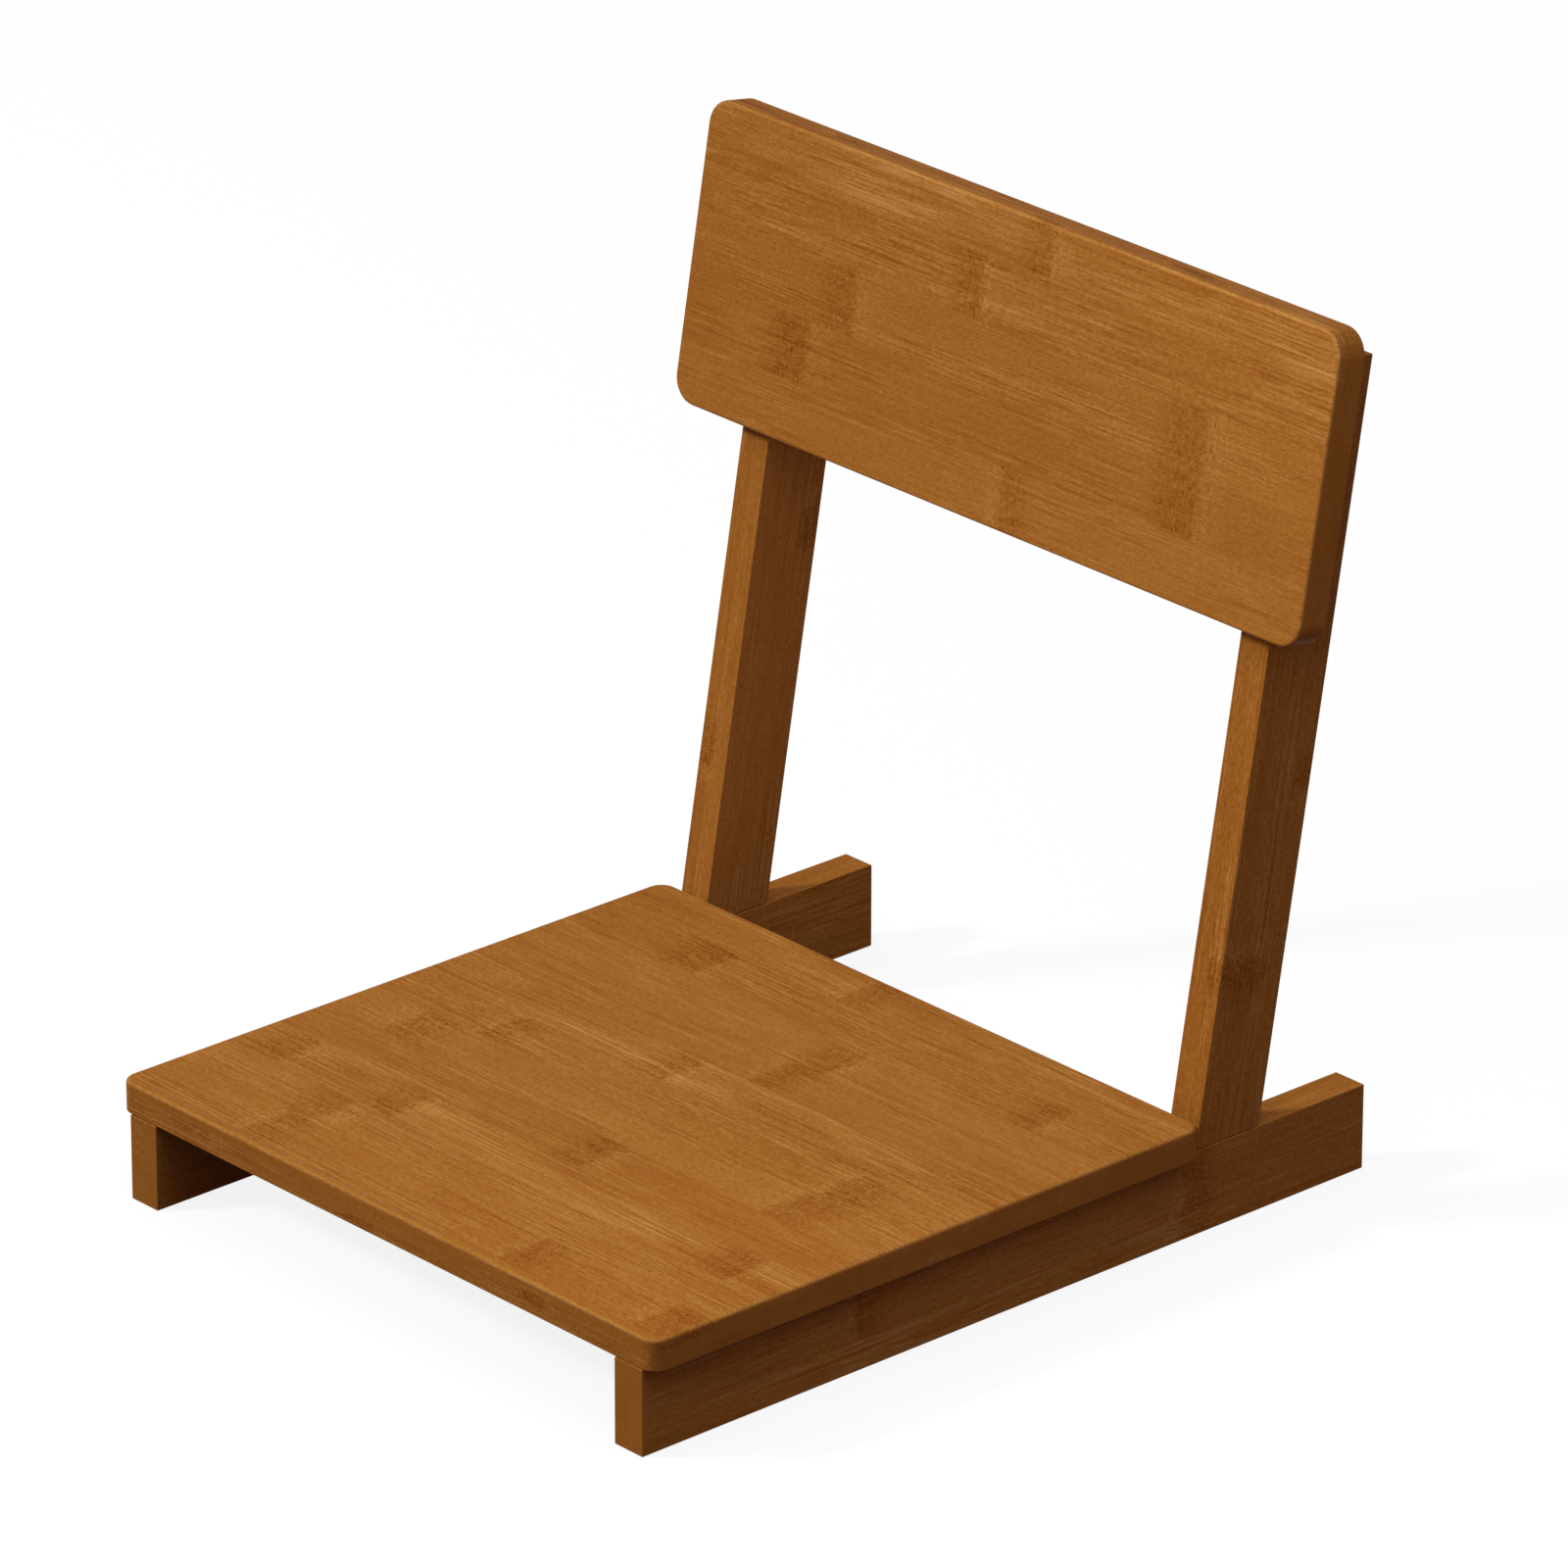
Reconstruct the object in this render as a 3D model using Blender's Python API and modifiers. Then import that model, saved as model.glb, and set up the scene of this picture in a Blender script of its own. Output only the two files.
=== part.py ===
"""Low bamboo floor chair: a seat board on two runners, and a leaning back board on two uprights.

Units are metres, +Z is up, and the chair faces -Y. Left is -X, as seen from the front. The origin is on the
floor, midway along the runners. Both boards are bolted on from their hidden side, into threaded inserts, and
the foot of each upright is doweled and screwed to its runner.
"""

import math

import bmesh
import bpy
from mathutils import Euler, Vector

# Seat board
SEAT_WIDTH = 0.400
SEAT_DEPTH = 0.360
SEAT_THICKNESS = 0.017
SEAT_CORNER_RADIUS = 0.009
SEAT_OVERHANG = 0.0085  # past the outer face of each runner

# Runners, which start flush with the seat's front edge
RUNNER_WIDTH = 0.020
RUNNER_HEIGHT = 0.046
RUNNER_TAIL = 0.120  # length behind the seat

# Uprights, flush with the runners' outer faces
UPRIGHT_WIDTH = 0.020
UPRIGHT_DEPTH = 0.043
UPRIGHT_LEAN = math.radians(9.75)
UPRIGHT_SETBACK = 0.003  # from the seat's back edge to the uprights' feet
UPRIGHT_DROP = 0.024  # from the back board's top edge down to the uprights' tops

# Back board, on the front faces of the uprights
BACK_HEIGHT = 0.160
BACK_THICKNESS = 0.018
BACK_CORNER_RADIUS = 0.014
BACK_OVERHANG = 0.035  # past the outer face of each upright
BACK_LIFT = 0.269  # from the runners' tops to the board's lower edge, along the uprights

# Eased edges
BOARD_EDGE_RADIUS = 0.002
BAR_EDGE_RADIUS = 0.0008

# Bolts and washers
BOLT_DIAMETER = 0.006
BOLT_TIP_CHAMFER = 0.0008
HEAD_DIAMETER = 0.010
HEAD_HEIGHT = 0.006
SOCKET_WIDTH = 0.005  # across flats
SOCKET_DEPTH = 0.003
WASHER_RIM = 0.001  # past the bolt's head, all round
WASHER_THICKNESS = 0.0016
COUNTERBORE_ROOM = 0.0005  # round a washer or a head

# Threaded inserts, pressed into the boards from their hidden side
INSERT_WALL = 0.0017
INSERT_COVER = 0.005  # wood left between an insert and the face of its board

# Wood clamped under the bolts' heads, and where the bolts stand
SEAT_GRIP = 0.024
BACK_GRIP = 0.029
SEAT_BOLT_MARGIN = 0.050  # from the seat's front and back edges to the outer bolts
BACK_BOLT_MARGIN = 0.050  # from the back board's lower and upper edges

# Dowels and screw in each upright's foot
DOWEL_DIAMETER = 0.008
DOWEL_LENGTH = 0.040
DOWEL_CHAMFER = 0.0008
DOWEL_SPACING = 0.022
FOOT_JOINT_OFFSET = 0.0015  # from the middle of the foot, towards the back
SCREW_DIAMETER = 0.006
SCREW_GRIP = 0.024
SCREW_REACH = 0.045  # into the upright
SCREW_TIP_LENGTH = 0.006
SCREW_TIP_DIAMETER = 0.002

# Finishes: colour, roughness and how metallic they are
BAMBOO_FINISH = ((0.365, 0.133, 0.021), 0.38, 0.0)
DOWEL_FINISH = ((0.55, 0.33, 0.14), 0.6, 0.0)
ZINC_FINISH = ((0.62, 0.63, 0.65), 0.32, 1.0)
BRASS_FINISH = ((0.66, 0.48, 0.20), 0.35, 1.0)

# Fits and facets
FIT_GAP = 0.0003
CUT_MARGIN = 0.002  # by which a cutter stands clear of the face that it opens
ROUND_SIDES = 16
HEXAGON_SIDES = 6
ROUND_PROFILE = 0.5  # a bevel's profile that is a quarter circle
CORNER_SEGMENTS = 6
EDGE_SEGMENTS = 2
SMOOTH_ANGLE = math.radians(35.0)
WELD_DISTANCE = 0.00001

# Worked out from the sizes above
RUNNER_LENGTH = SEAT_DEPTH + RUNNER_TAIL
FRONT_Y = -RUNNER_LENGTH / 2
SEAT_BACK_Y = FRONT_Y + SEAT_DEPTH
SEAT_BOTTOM_Z = RUNNER_HEIGHT + FIT_GAP
OUTER_X = SEAT_WIDTH / 2 - SEAT_OVERHANG
RUNNER_X = OUTER_X - RUNNER_WIDTH / 2
UPRIGHT_X = OUTER_X - UPRIGHT_WIDTH / 2
UPRIGHT_LENGTH = BACK_LIFT + BACK_HEIGHT - UPRIGHT_DROP
FOOT_Y = SEAT_BACK_Y + UPRIGHT_SETBACK
FOOT_LENGTH = UPRIGHT_DEPTH / math.cos(UPRIGHT_LEAN)
FOOT_JOINT_Y = FOOT_Y + FOOT_LENGTH / 2 + FOOT_JOINT_OFFSET
BACK_WIDTH = 2 * (OUTER_X + BACK_OVERHANG)
HEAD_RADIUS = HEAD_DIAMETER / 2
WASHER_RADIUS = HEAD_RADIUS + WASHER_RIM
BOLT_HOLE_RADIUS = BOLT_DIAMETER / 2 + FIT_GAP
INSERT_RADIUS = BOLT_HOLE_RADIUS + INSERT_WALL
BEARING_STACK = 2 * FIT_GAP + WASHER_THICKNESS  # from a counterbore's shoulder to the bolt's head
SCREW_LENGTH = FIT_GAP + SCREW_GRIP + FIT_GAP + SCREW_REACH

SIDES = {"left": -1, "right": 1}
UPWARD = (0.0, 0.0, 0.0)
FORWARD = (math.radians(90.0), 0.0, 0.0)  # turns what points up to point forward


def clear_scene():
    """Remove every object and leave the file as it is otherwise."""
    for obj in list(bpy.data.objects):
        bpy.data.objects.remove(obj, do_unlink=True)


def new_collection(name):
    collection = bpy.data.collections.new(name)
    bpy.context.scene.collection.children.link(collection)
    return collection


def new_material(name, finish):
    colour, roughness, metallic = finish
    material = bpy.data.materials.new(name)
    material.use_nodes = True
    shader = material.node_tree.nodes["Principled BSDF"]
    shader.inputs["Base Color"].default_value = (*colour, 1.0)
    shader.inputs["Roughness"].default_value = roughness
    shader.inputs["Metallic"].default_value = metallic
    return material


def place(name, mesh, collection, parent=None, location=(0.0, 0.0, 0.0), rotation=UPWARD):
    """Put a mesh in the scene as a named object under its parent. With no mesh it is an empty."""
    obj = bpy.data.objects.new(name, mesh)
    collection.objects.link(obj)
    obj.parent = parent
    obj.location = location
    obj.rotation_euler = rotation
    return obj


class Chair:
    """The chair's collections and finishes, and the two frames that its pieces stand in."""

    def __init__(self):
        self.parts = new_collection("floor_chair")
        self.cutters = new_collection("floor_chair_cutters")
        self.bamboo = new_material("caramel_bamboo", BAMBOO_FINISH)
        self.dowel_wood = new_material("pale_bamboo_dowel", DOWEL_FINISH)
        self.zinc = new_material("zinc_plated_steel", ZINC_FINISH)
        self.brass = new_material("brass_insert", BRASS_FINISH)
        self.floor_frame = place("floor_frame", None, self.parts)
        # Stands at the uprights' feet: Z runs up their front faces, and Y goes back through them.
        self.lean_frame = place("lean_frame", None, self.parts, self.floor_frame,
                                (0.0, FOOT_Y, RUNNER_HEIGHT), (-UPRIGHT_LEAN, 0.0, 0.0))

    def piece(self, name, mesh, material, frame, location, rotation=UPWARD):
        mesh.materials.clear()
        mesh.materials.append(material)
        return place(name, mesh, self.parts, frame, location, rotation)

    def cutter(self, name, mesh, frame, location, rotation=UPWARD):
        guide = place(name, mesh, self.cutters, frame, location, rotation)
        guide.hide_render = True
        guide.display_type = "WIRE"
        return guide


def finished_mesh(blank, name):
    """Replace an object by the plain mesh that its modifiers make, with crisp edges between smooth faces."""
    depsgraph = bpy.context.evaluated_depsgraph_get()
    mesh = bpy.data.meshes.new_from_object(blank.evaluated_get(depsgraph))
    mesh.name = name
    bpy.data.objects.remove(blank, do_unlink=True)
    mesh.shade_smooth()
    mesh.set_sharp_from_angle(angle=SMOOTH_ANGLE)
    return mesh


def box_mesh(name, size, base=(0.0, 0.0, 0.0), corner_radius=None):
    """Box on the middle of its lower face, which lies at base. Its upright edges may be rounded."""
    form = bmesh.new()
    bmesh.ops.create_cube(form, size=1.0)
    bmesh.ops.scale(form, vec=Vector(size), verts=form.verts)
    bmesh.ops.translate(form, vec=Vector(base) + Vector((0.0, 0.0, size[2] / 2)), verts=form.verts)
    if corner_radius:
        corners = [edge for edge in form.edges if edge.verts[0].co.xy == edge.verts[1].co.xy]
        bmesh.ops.bevel(form, geom=corners, offset=corner_radius, segments=CORNER_SEGMENTS,
                        profile=ROUND_PROFILE, affect="EDGES")
    mesh = bpy.data.meshes.new(name)
    form.to_mesh(mesh)
    form.free()
    return mesh


def turned_mesh(name, profile, ring=False):
    """Turn a profile of (radius, height) points about Z. It runs down its outer side, and a ring's closes."""
    points = [(radius, 0.0, height) for radius, height in profile]
    edges = [(index, index + 1) for index in range(len(points) - 1)]
    if ring:
        edges.append((len(points) - 1, 0))
    mesh = bpy.data.meshes.new(name)
    mesh.from_pydata(points, edges, [])
    blank = place(name, mesh, bpy.context.scene.collection)
    turn = blank.modifiers.new("turn", "SCREW")
    turn.axis = "Z"
    turn.steps = ROUND_SIDES
    turn.render_steps = ROUND_SIDES
    turn.use_merge_vertices = True
    turn.merge_threshold = WELD_DISTANCE
    return finished_mesh(blank, name)


def ease_edges(obj, radius):
    bevel = obj.modifiers.new("eased_edges", "BEVEL")
    bevel.width = radius
    bevel.segments = EDGE_SEGMENTS
    bevel.limit_method = "ANGLE"
    bevel.angle_limit = SMOOTH_ANGLE


def cut(obj, cutter):
    boolean = obj.modifiers.new(cutter.name, "BOOLEAN")
    boolean.operation = "DIFFERENCE"
    boolean.solver = "EXACT"
    boolean.object = cutter


def headed_mesh(name, radius, length, tip_radius, tip_length):
    """Bolt or screw that points up, with its head below zero and a hexagon socket in the head."""
    profile = [
        (0.0, length),
        (tip_radius, length),
        (radius, length - tip_length),
        (radius, 0.0),
        (HEAD_RADIUS, 0.0),
        (HEAD_RADIUS, -HEAD_HEIGHT),
        (0.0, -HEAD_HEIGHT),
    ]
    blank = place(name, turned_mesh(name, profile), bpy.context.scene.collection)
    form = bmesh.new()
    corner_radius = SOCKET_WIDTH / 2 / math.cos(math.pi / HEXAGON_SIDES)
    bmesh.ops.create_cone(form, cap_ends=True, segments=HEXAGON_SIDES, radius1=corner_radius,
                          radius2=corner_radius, depth=2 * SOCKET_DEPTH)
    socket_mesh = bpy.data.meshes.new("socket")
    form.to_mesh(socket_mesh)
    form.free()
    socket = place("socket", socket_mesh, bpy.context.scene.collection, location=(0.0, 0.0, -HEAD_HEIGHT))
    cut(blank, socket)
    mesh = finished_mesh(blank, name)
    bpy.data.objects.remove(socket, do_unlink=True)
    return mesh


def ring_mesh(name, outer_radius, height):
    """Washer or insert: a ring that a bolt passes through, standing on zero."""
    profile = [
        (BOLT_HOLE_RADIUS, height),
        (outer_radius, height),
        (outer_radius, 0.0),
        (BOLT_HOLE_RADIUS, 0.0),
    ]
    return turned_mesh(name, profile, ring=True)


def dowel_mesh():
    """Dowel about the middle of its length, with both ends chamfered."""
    radius = DOWEL_DIAMETER / 2
    half = DOWEL_LENGTH / 2
    profile = [
        (0.0, half),
        (radius - DOWEL_CHAMFER, half),
        (radius, half - DOWEL_CHAMFER),
        (radius, -half + DOWEL_CHAMFER),
        (radius - DOWEL_CHAMFER, -half),
        (0.0, -half),
    ]
    return turned_mesh("dowel", profile)


def hole_mesh(name, radius, top, bottom):
    """Cutter for a plain round hole."""
    return turned_mesh(name, [(0.0, top), (radius, top), (radius, bottom), (0.0, bottom)])


def counterbore_mesh(name, hole_radius, top, room_radius, depth):
    """Cutter for a bolt's hole above the shoulder at zero, and for the room round its head below."""
    profile = [
        (0.0, top),
        (hole_radius, top),
        (hole_radius, 0.0),
        (room_radius, 0.0),
        (room_radius, -depth - CUT_MARGIN),
        (0.0, -depth - CUT_MARGIN),
    ]
    return turned_mesh(name, profile)


def make_seat(chair):
    mesh = box_mesh("seat_board", (SEAT_WIDTH, SEAT_DEPTH, SEAT_THICKNESS), corner_radius=SEAT_CORNER_RADIUS)
    seat = chair.piece("seat_board", mesh, chair.bamboo, chair.floor_frame,
                       (0.0, FRONT_Y + SEAT_DEPTH / 2, SEAT_BOTTOM_Z))
    ease_edges(seat, BOARD_EDGE_RADIUS)
    return seat


def make_back(chair):
    mesh = box_mesh("backrest_board", (BACK_WIDTH, BACK_HEIGHT, BACK_THICKNESS),
                    corner_radius=BACK_CORNER_RADIUS)
    back = chair.piece("backrest_board", mesh, chair.bamboo, chair.lean_frame,
                       (0.0, -FIT_GAP, BACK_LIFT + BACK_HEIGHT / 2), FORWARD)
    ease_edges(back, BOARD_EDGE_RADIUS)
    return back


def make_runner(chair, side):
    name = side + "_runner"
    mesh = box_mesh(name, (RUNNER_WIDTH, RUNNER_LENGTH, RUNNER_HEIGHT))
    runner = chair.piece(name, mesh, chair.bamboo, chair.floor_frame, (SIDES[side] * RUNNER_X, 0.0, 0.0))
    ease_edges(runner, BAR_EDGE_RADIUS)
    return runner


def make_upright(chair, side):
    """Square-topped bar, long enough below for its foot to be trimmed level just above the runner."""
    name = side + "_upright"
    x = SIDES[side] * UPRIGHT_X
    spare = UPRIGHT_DEPTH * math.tan(UPRIGHT_LEAN) + CUT_MARGIN
    mesh = box_mesh(name, (UPRIGHT_WIDTH, UPRIGHT_DEPTH, UPRIGHT_LENGTH + spare),
                    (0.0, UPRIGHT_DEPTH / 2, -spare))
    upright = chair.piece(name, mesh, chair.bamboo, chair.lean_frame, (x, 0.0, 0.0))
    ease_edges(upright, BAR_EDGE_RADIUS)
    trim_mesh = box_mesh(name + "_trim", (2 * UPRIGHT_WIDTH, 2 * FOOT_LENGTH, RUNNER_HEIGHT))
    trim = chair.cutter(name + "_trim", trim_mesh, chair.floor_frame, (x, FOOT_Y + FOOT_LENGTH / 2, FIT_GAP))
    cut(upright, trim)
    return upright


def fix_feet(chair, runners, uprights):
    """Two dowels and one screw hold each upright's foot on its runner."""
    dowel = dowel_mesh()
    dowel_end = DOWEL_LENGTH / 2 + FIT_GAP
    dowel_hole = hole_mesh("dowel_hole", DOWEL_DIAMETER / 2 + FIT_GAP, dowel_end, -dowel_end)
    shoulder_z = RUNNER_HEIGHT - SCREW_GRIP
    screw = headed_mesh("upright_screw", SCREW_DIAMETER / 2, SCREW_LENGTH, SCREW_TIP_DIAMETER / 2,
                        SCREW_TIP_LENGTH)
    screw_hole = counterbore_mesh("upright_screw_hole", SCREW_DIAMETER / 2 + FIT_GAP, SCREW_LENGTH,
                                  HEAD_RADIUS + COUNTERBORE_ROOM, shoulder_z)
    for side, sign in SIDES.items():
        holes = []
        for station, step in (("front", -DOWEL_SPACING / 2), ("rear", DOWEL_SPACING / 2)):
            name = f"{side}_{station}_dowel"
            middle = (sign * UPRIGHT_X, FOOT_JOINT_Y + step, RUNNER_HEIGHT)
            chair.piece(name, dowel, chair.dowel_wood, chair.floor_frame, middle)
            holes.append(chair.cutter(name + "_hole", dowel_hole, chair.floor_frame, middle))
        name = side + "_upright_screw"
        shoulder = Vector((sign * UPRIGHT_X, FOOT_JOINT_Y, shoulder_z))
        chair.piece(name, screw, chair.zinc, chair.floor_frame, shoulder - Vector((0.0, 0.0, FIT_GAP)))
        holes.append(chair.cutter(name + "_hole", screw_hole, chair.floor_frame, shoulder))
        for hole in holes:
            cut(runners[side], hole)
            cut(uprights[side], hole)


class BoltedJoint:
    """Bolt, washer and insert on one line, from a counterbore in a bar into a pocket in a board."""

    def __init__(self, label, grip, bar_depth, board_thickness):
        insert_length = board_thickness - INSERT_COVER
        bolt_length = BEARING_STACK + grip + FIT_GAP + insert_length
        self.grip = grip
        self.bolt = headed_mesh(label + "_bolt", BOLT_DIAMETER / 2, bolt_length,
                                BOLT_DIAMETER / 2 - BOLT_TIP_CHAMFER, BOLT_TIP_CHAMFER)
        self.washer = ring_mesh(label + "_washer", WASHER_RADIUS, WASHER_THICKNESS)
        self.insert = ring_mesh(label + "_insert", INSERT_RADIUS, insert_length)
        self.counterbore = counterbore_mesh(label + "_counterbore", BOLT_HOLE_RADIUS, grip + CUT_MARGIN,
                                            WASHER_RADIUS + COUNTERBORE_ROOM, bar_depth - grip)
        self.pocket = hole_mesh(label + "_pocket", INSERT_RADIUS + FIT_GAP, insert_length + FIT_GAP,
                                -FIT_GAP / 2)

    def make(self, chair, name, frame, shoulder, rotation, bar, board):
        """Put one set in, with the counterbore's shoulder at a point of the frame."""
        along = Euler(rotation).to_matrix() @ Vector((0.0, 0.0, 1.0))
        shoulder = Vector(shoulder)
        head = shoulder - along * BEARING_STACK
        meeting = shoulder + along * (self.grip + FIT_GAP)
        chair.piece(name + "_bolt", self.bolt, chair.zinc, frame, head, rotation)
        chair.piece(name + "_washer", self.washer, chair.zinc, frame, head + along * FIT_GAP, rotation)
        chair.piece(name + "_insert", self.insert, chair.brass, frame, meeting, rotation)
        cut(bar, chair.cutter(name + "_counterbore", self.counterbore, frame, shoulder, rotation))
        cut(board, chair.cutter(name + "_pocket", self.pocket, frame, meeting, rotation))


def bolt_seat(chair, seat, runners):
    joint = BoltedJoint("seat", SEAT_GRIP, RUNNER_HEIGHT, SEAT_THICKNESS)
    stations = {
        "front": FRONT_Y + SEAT_BOLT_MARGIN,
        "middle": FRONT_Y + SEAT_DEPTH / 2,
        "rear": SEAT_BACK_Y - SEAT_BOLT_MARGIN,
    }
    for side, sign in SIDES.items():
        for station, y in stations.items():
            joint.make(chair, f"{side}_{station}_seat", chair.floor_frame,
                       (sign * RUNNER_X, y, RUNNER_HEIGHT - SEAT_GRIP), UPWARD, runners[side], seat)


def bolt_back(chair, back, uprights):
    joint = BoltedJoint("back", BACK_GRIP, UPRIGHT_DEPTH, BACK_THICKNESS)
    stations = {
        "lower": BACK_LIFT + BACK_BOLT_MARGIN,
        "upper": BACK_LIFT + BACK_HEIGHT - BACK_BOLT_MARGIN,
    }
    for side, sign in SIDES.items():
        for station, z in stations.items():
            joint.make(chair, f"{side}_{station}_back", chair.lean_frame,
                       (sign * UPRIGHT_X, BACK_GRIP, z), FORWARD, uprights[side], back)


def main():
    clear_scene()
    chair = Chair()
    seat = make_seat(chair)
    back = make_back(chair)
    runners = {side: make_runner(chair, side) for side in SIDES}
    uprights = {side: make_upright(chair, side) for side in SIDES}
    fix_feet(chair, runners, uprights)
    bolt_seat(chair, seat, runners)
    bolt_back(chair, back, uprights)
    bpy.context.view_layer.update()


main()
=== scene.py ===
"""Bamboo floor chair, dressed for its picture: boards and bars with their grain, hardware, floor and light.

Laid out as an add-on and run as a script. Units are metres, +Z is up and the chair faces -Y. The sizes come
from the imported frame, and the properties hold what a user would change.
"""

import math
import random

import bmesh
import bpy
import numpy as np
from bpy.props import FloatProperty, FloatVectorProperty, PointerProperty
from mathutils import Matrix, Vector


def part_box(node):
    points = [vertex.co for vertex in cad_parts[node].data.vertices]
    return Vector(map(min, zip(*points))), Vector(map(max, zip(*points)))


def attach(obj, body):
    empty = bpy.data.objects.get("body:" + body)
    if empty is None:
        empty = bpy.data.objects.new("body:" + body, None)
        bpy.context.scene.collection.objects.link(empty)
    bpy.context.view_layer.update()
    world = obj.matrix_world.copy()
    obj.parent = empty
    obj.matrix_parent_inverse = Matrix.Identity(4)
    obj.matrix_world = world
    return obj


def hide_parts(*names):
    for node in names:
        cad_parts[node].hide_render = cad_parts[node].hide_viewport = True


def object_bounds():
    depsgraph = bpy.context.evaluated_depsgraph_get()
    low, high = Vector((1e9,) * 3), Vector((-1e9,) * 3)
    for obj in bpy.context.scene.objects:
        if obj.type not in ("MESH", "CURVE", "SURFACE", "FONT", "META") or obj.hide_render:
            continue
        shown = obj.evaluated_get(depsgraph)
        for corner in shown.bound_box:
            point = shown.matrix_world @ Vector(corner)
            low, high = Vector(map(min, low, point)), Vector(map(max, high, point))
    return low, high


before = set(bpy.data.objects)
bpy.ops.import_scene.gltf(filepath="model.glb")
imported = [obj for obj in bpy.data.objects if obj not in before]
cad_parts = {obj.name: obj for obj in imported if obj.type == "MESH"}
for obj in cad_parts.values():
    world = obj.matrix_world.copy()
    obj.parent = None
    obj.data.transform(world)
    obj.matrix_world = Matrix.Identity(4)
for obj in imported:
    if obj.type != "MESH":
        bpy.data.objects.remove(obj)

bl_info = {
    "name": "Bamboo Floor Chair",
    "version": (1, 0, 0),
    "blender": (4, 5, 0),
    "location": "3D View > Sidebar > Floor Chair",
    "description": "Builds a bamboo floor chair's boards, bars and hardware on its packed frame",
    "category": "Object",
}

CAD_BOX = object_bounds()
BODY = "root"

# Names of the frame's nodes
SIDES = ("left", "right")
SEAT_SETS = [f"{side}_{station}_seat" for side in SIDES for station in ("front", "middle", "rear")]
BACK_SETS = [f"{side}_{station}_back" for side in SIDES for station in ("lower", "upper")]
SETS = {"seat": SEAT_SETS, "back": BACK_SETS}
DOWELS = [f"{side}_{station}_dowel" for side in SIDES for station in ("front", "rear")]
SCREWS = [f"{side}_upright_screw" for side in SIDES]

# Directions
X, Y, Z = 0, 1, 2
UP = Vector((0.0, 0.0, 1.0))

# Fits, as the frame has them
FIT_GAP = 0.0003
COUNTERBORE_ROOM = 0.0005  # round a washer or a screw's head
CUT_MARGIN = 0.003  # by which a drill or a trimming block stands clear of the wood

# Smoothness of the meshes
ROUND_PROFILE = 0.5
CORNER_SEGMENTS = 14
EDGE_SEGMENTS = 5
DRILL_SIDES = 40
SMOOTH_ANGLE = math.radians(35.0)
BEVEL_ANGLE = math.radians(40.0)
WELD_DISTANCE = 0.000005

# How the wood is glued up. A strip's knuckles are given by their places along the grain.
NO_KNUCKLE = 9.0
KNUCKLES_A_STRIP = 3
SEAT_LAYUP = {
    "first": 0.034,
    "width": 0.032,
    "plies": 3,
    "knuckles": ((0.175,), (0.086, 0.340), (0.222,), (0.217,), (0.175,), (0.086, 0.340), (0.053, 0.337),
                 (0.222,), (0.028, 0.115, 0.362), (0.092,), (0.095, 0.288, 0.387), ()),
}
BACK_LAYUP = {
    "first": 0.027,
    "width": 0.0333,
    "plies": 3,
    "knuckles": ((0.247,), (0.202,), (0.113, 0.363), (0.082, 0.363), (0.247,)),
}
RUNNER_LAYUP = {
    "first": 0.030,
    "width": 0.032,
    "plies": 2,
    "knuckles": ((0.143, 0.363), (0.363,)),
}
UPRIGHT_LAYUP = {
    "first": 0.012,
    "width": 0.031,
    "plies": 2,
    "knuckles": ((0.190,), (0.090,)),
}

# The bamboo's pattern. Cells are those of a noise in a metre, along the strip, across it and through it.
SEED_REACH = 40.0  # sets the strips' noises apart
PORE_CELLS = (345.0, 900.0, 900.0)
HAIR_CELLS = (36.0, 1000.0, 1000.0)
FIBRE_CELLS = (8.0, 850.0, 850.0)
THREAD_CELLS = (7.0, 260.0, 260.0)
THREAD_WIDTH = 0.09
THREAD_FADE = (0.50, 0.62)
CALM_CELLS = (9.0, 50.0, 50.0)
CALM_RANGE = (0.35, 0.65)  # from calm places to lively ones
CALM_SHARE = (0.4, 1.6)  # how much of the fibres shows in them
SHADE_CELLS = (14.0, 40.0, 40.0)
SWIRL_CELLS = (70.0, 90.0, 90.0)
SWIRL_REACH = 0.003
STRIP_CONTRAST = (0.85, 1.15)
END_CONTRAST = 0.5
MARKED_STRIPS = (0.35, 1.0)  # draws of the strips that have threads
SEAM_WIDTH = 0.0006
KNUCKLE_WAVER = (1.0, 150.0, 150.0)
KNUCKLE_WANDER = 0.004
KNUCKLE_SIZES = (1.5, 2.7)  # by which the lengths below are multiplied
KNUCKLE_SOFT_SIDE = (-0.0120, -0.0020)
KNUCKLE_SHARP_SIDE = (0.0060, 0.0025)
KNUCKLE_RIM = (0.0140, 0.0050)
KNUCKLE_REACH = 0.030
SPECK_CELLS = (620.0, 300.0, 300.0)
SPECK_TWIST = 1.5

# How much each feature lightens or darkens the bamboo, on a scale of tones from 0 to 1
MIDDLE_TONE = 0.5
PORE_TONE = 0.47
HAIR_TONE = 0.40
FIBRE_TONE = 0.34
THREAD_TONE = 0.17
SHADE_TONE = 0.12
STRIP_TONE = 0.05
PATCH_TONE = -0.11
RIM_TONE = 0.05
SPECK_TONE = 0.85
SEAM_TONE = -0.03
# Eased edges are made lighter, partly as real wear and partly as a painted highlight where they catch the
# lamp
EDGE_WEAR_AND_HIGHLIGHT_TONE = 0.14
END_TONE = -0.05

# Tones at which the bamboo's colours stand, and how far the two between have gone to the next one
DARK_STOP = 0.08
BROWN_STOP = 0.34
BROWN_SHARE = 0.62
HONEY_STOP = 0.66
HONEY_SHARE = 0.38
PALE_STOP = 0.95

# The bamboo's surface. A bump is given by its strength and its height.
FIBRE_ROUGHNESS = 0.12
END_ROUGHNESS = 0.12
SEAM_RELIEF = -0.5
SPECK_RELIEF = 0.6
GRAIN_BUMP = (0.22, 0.00012)

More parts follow.
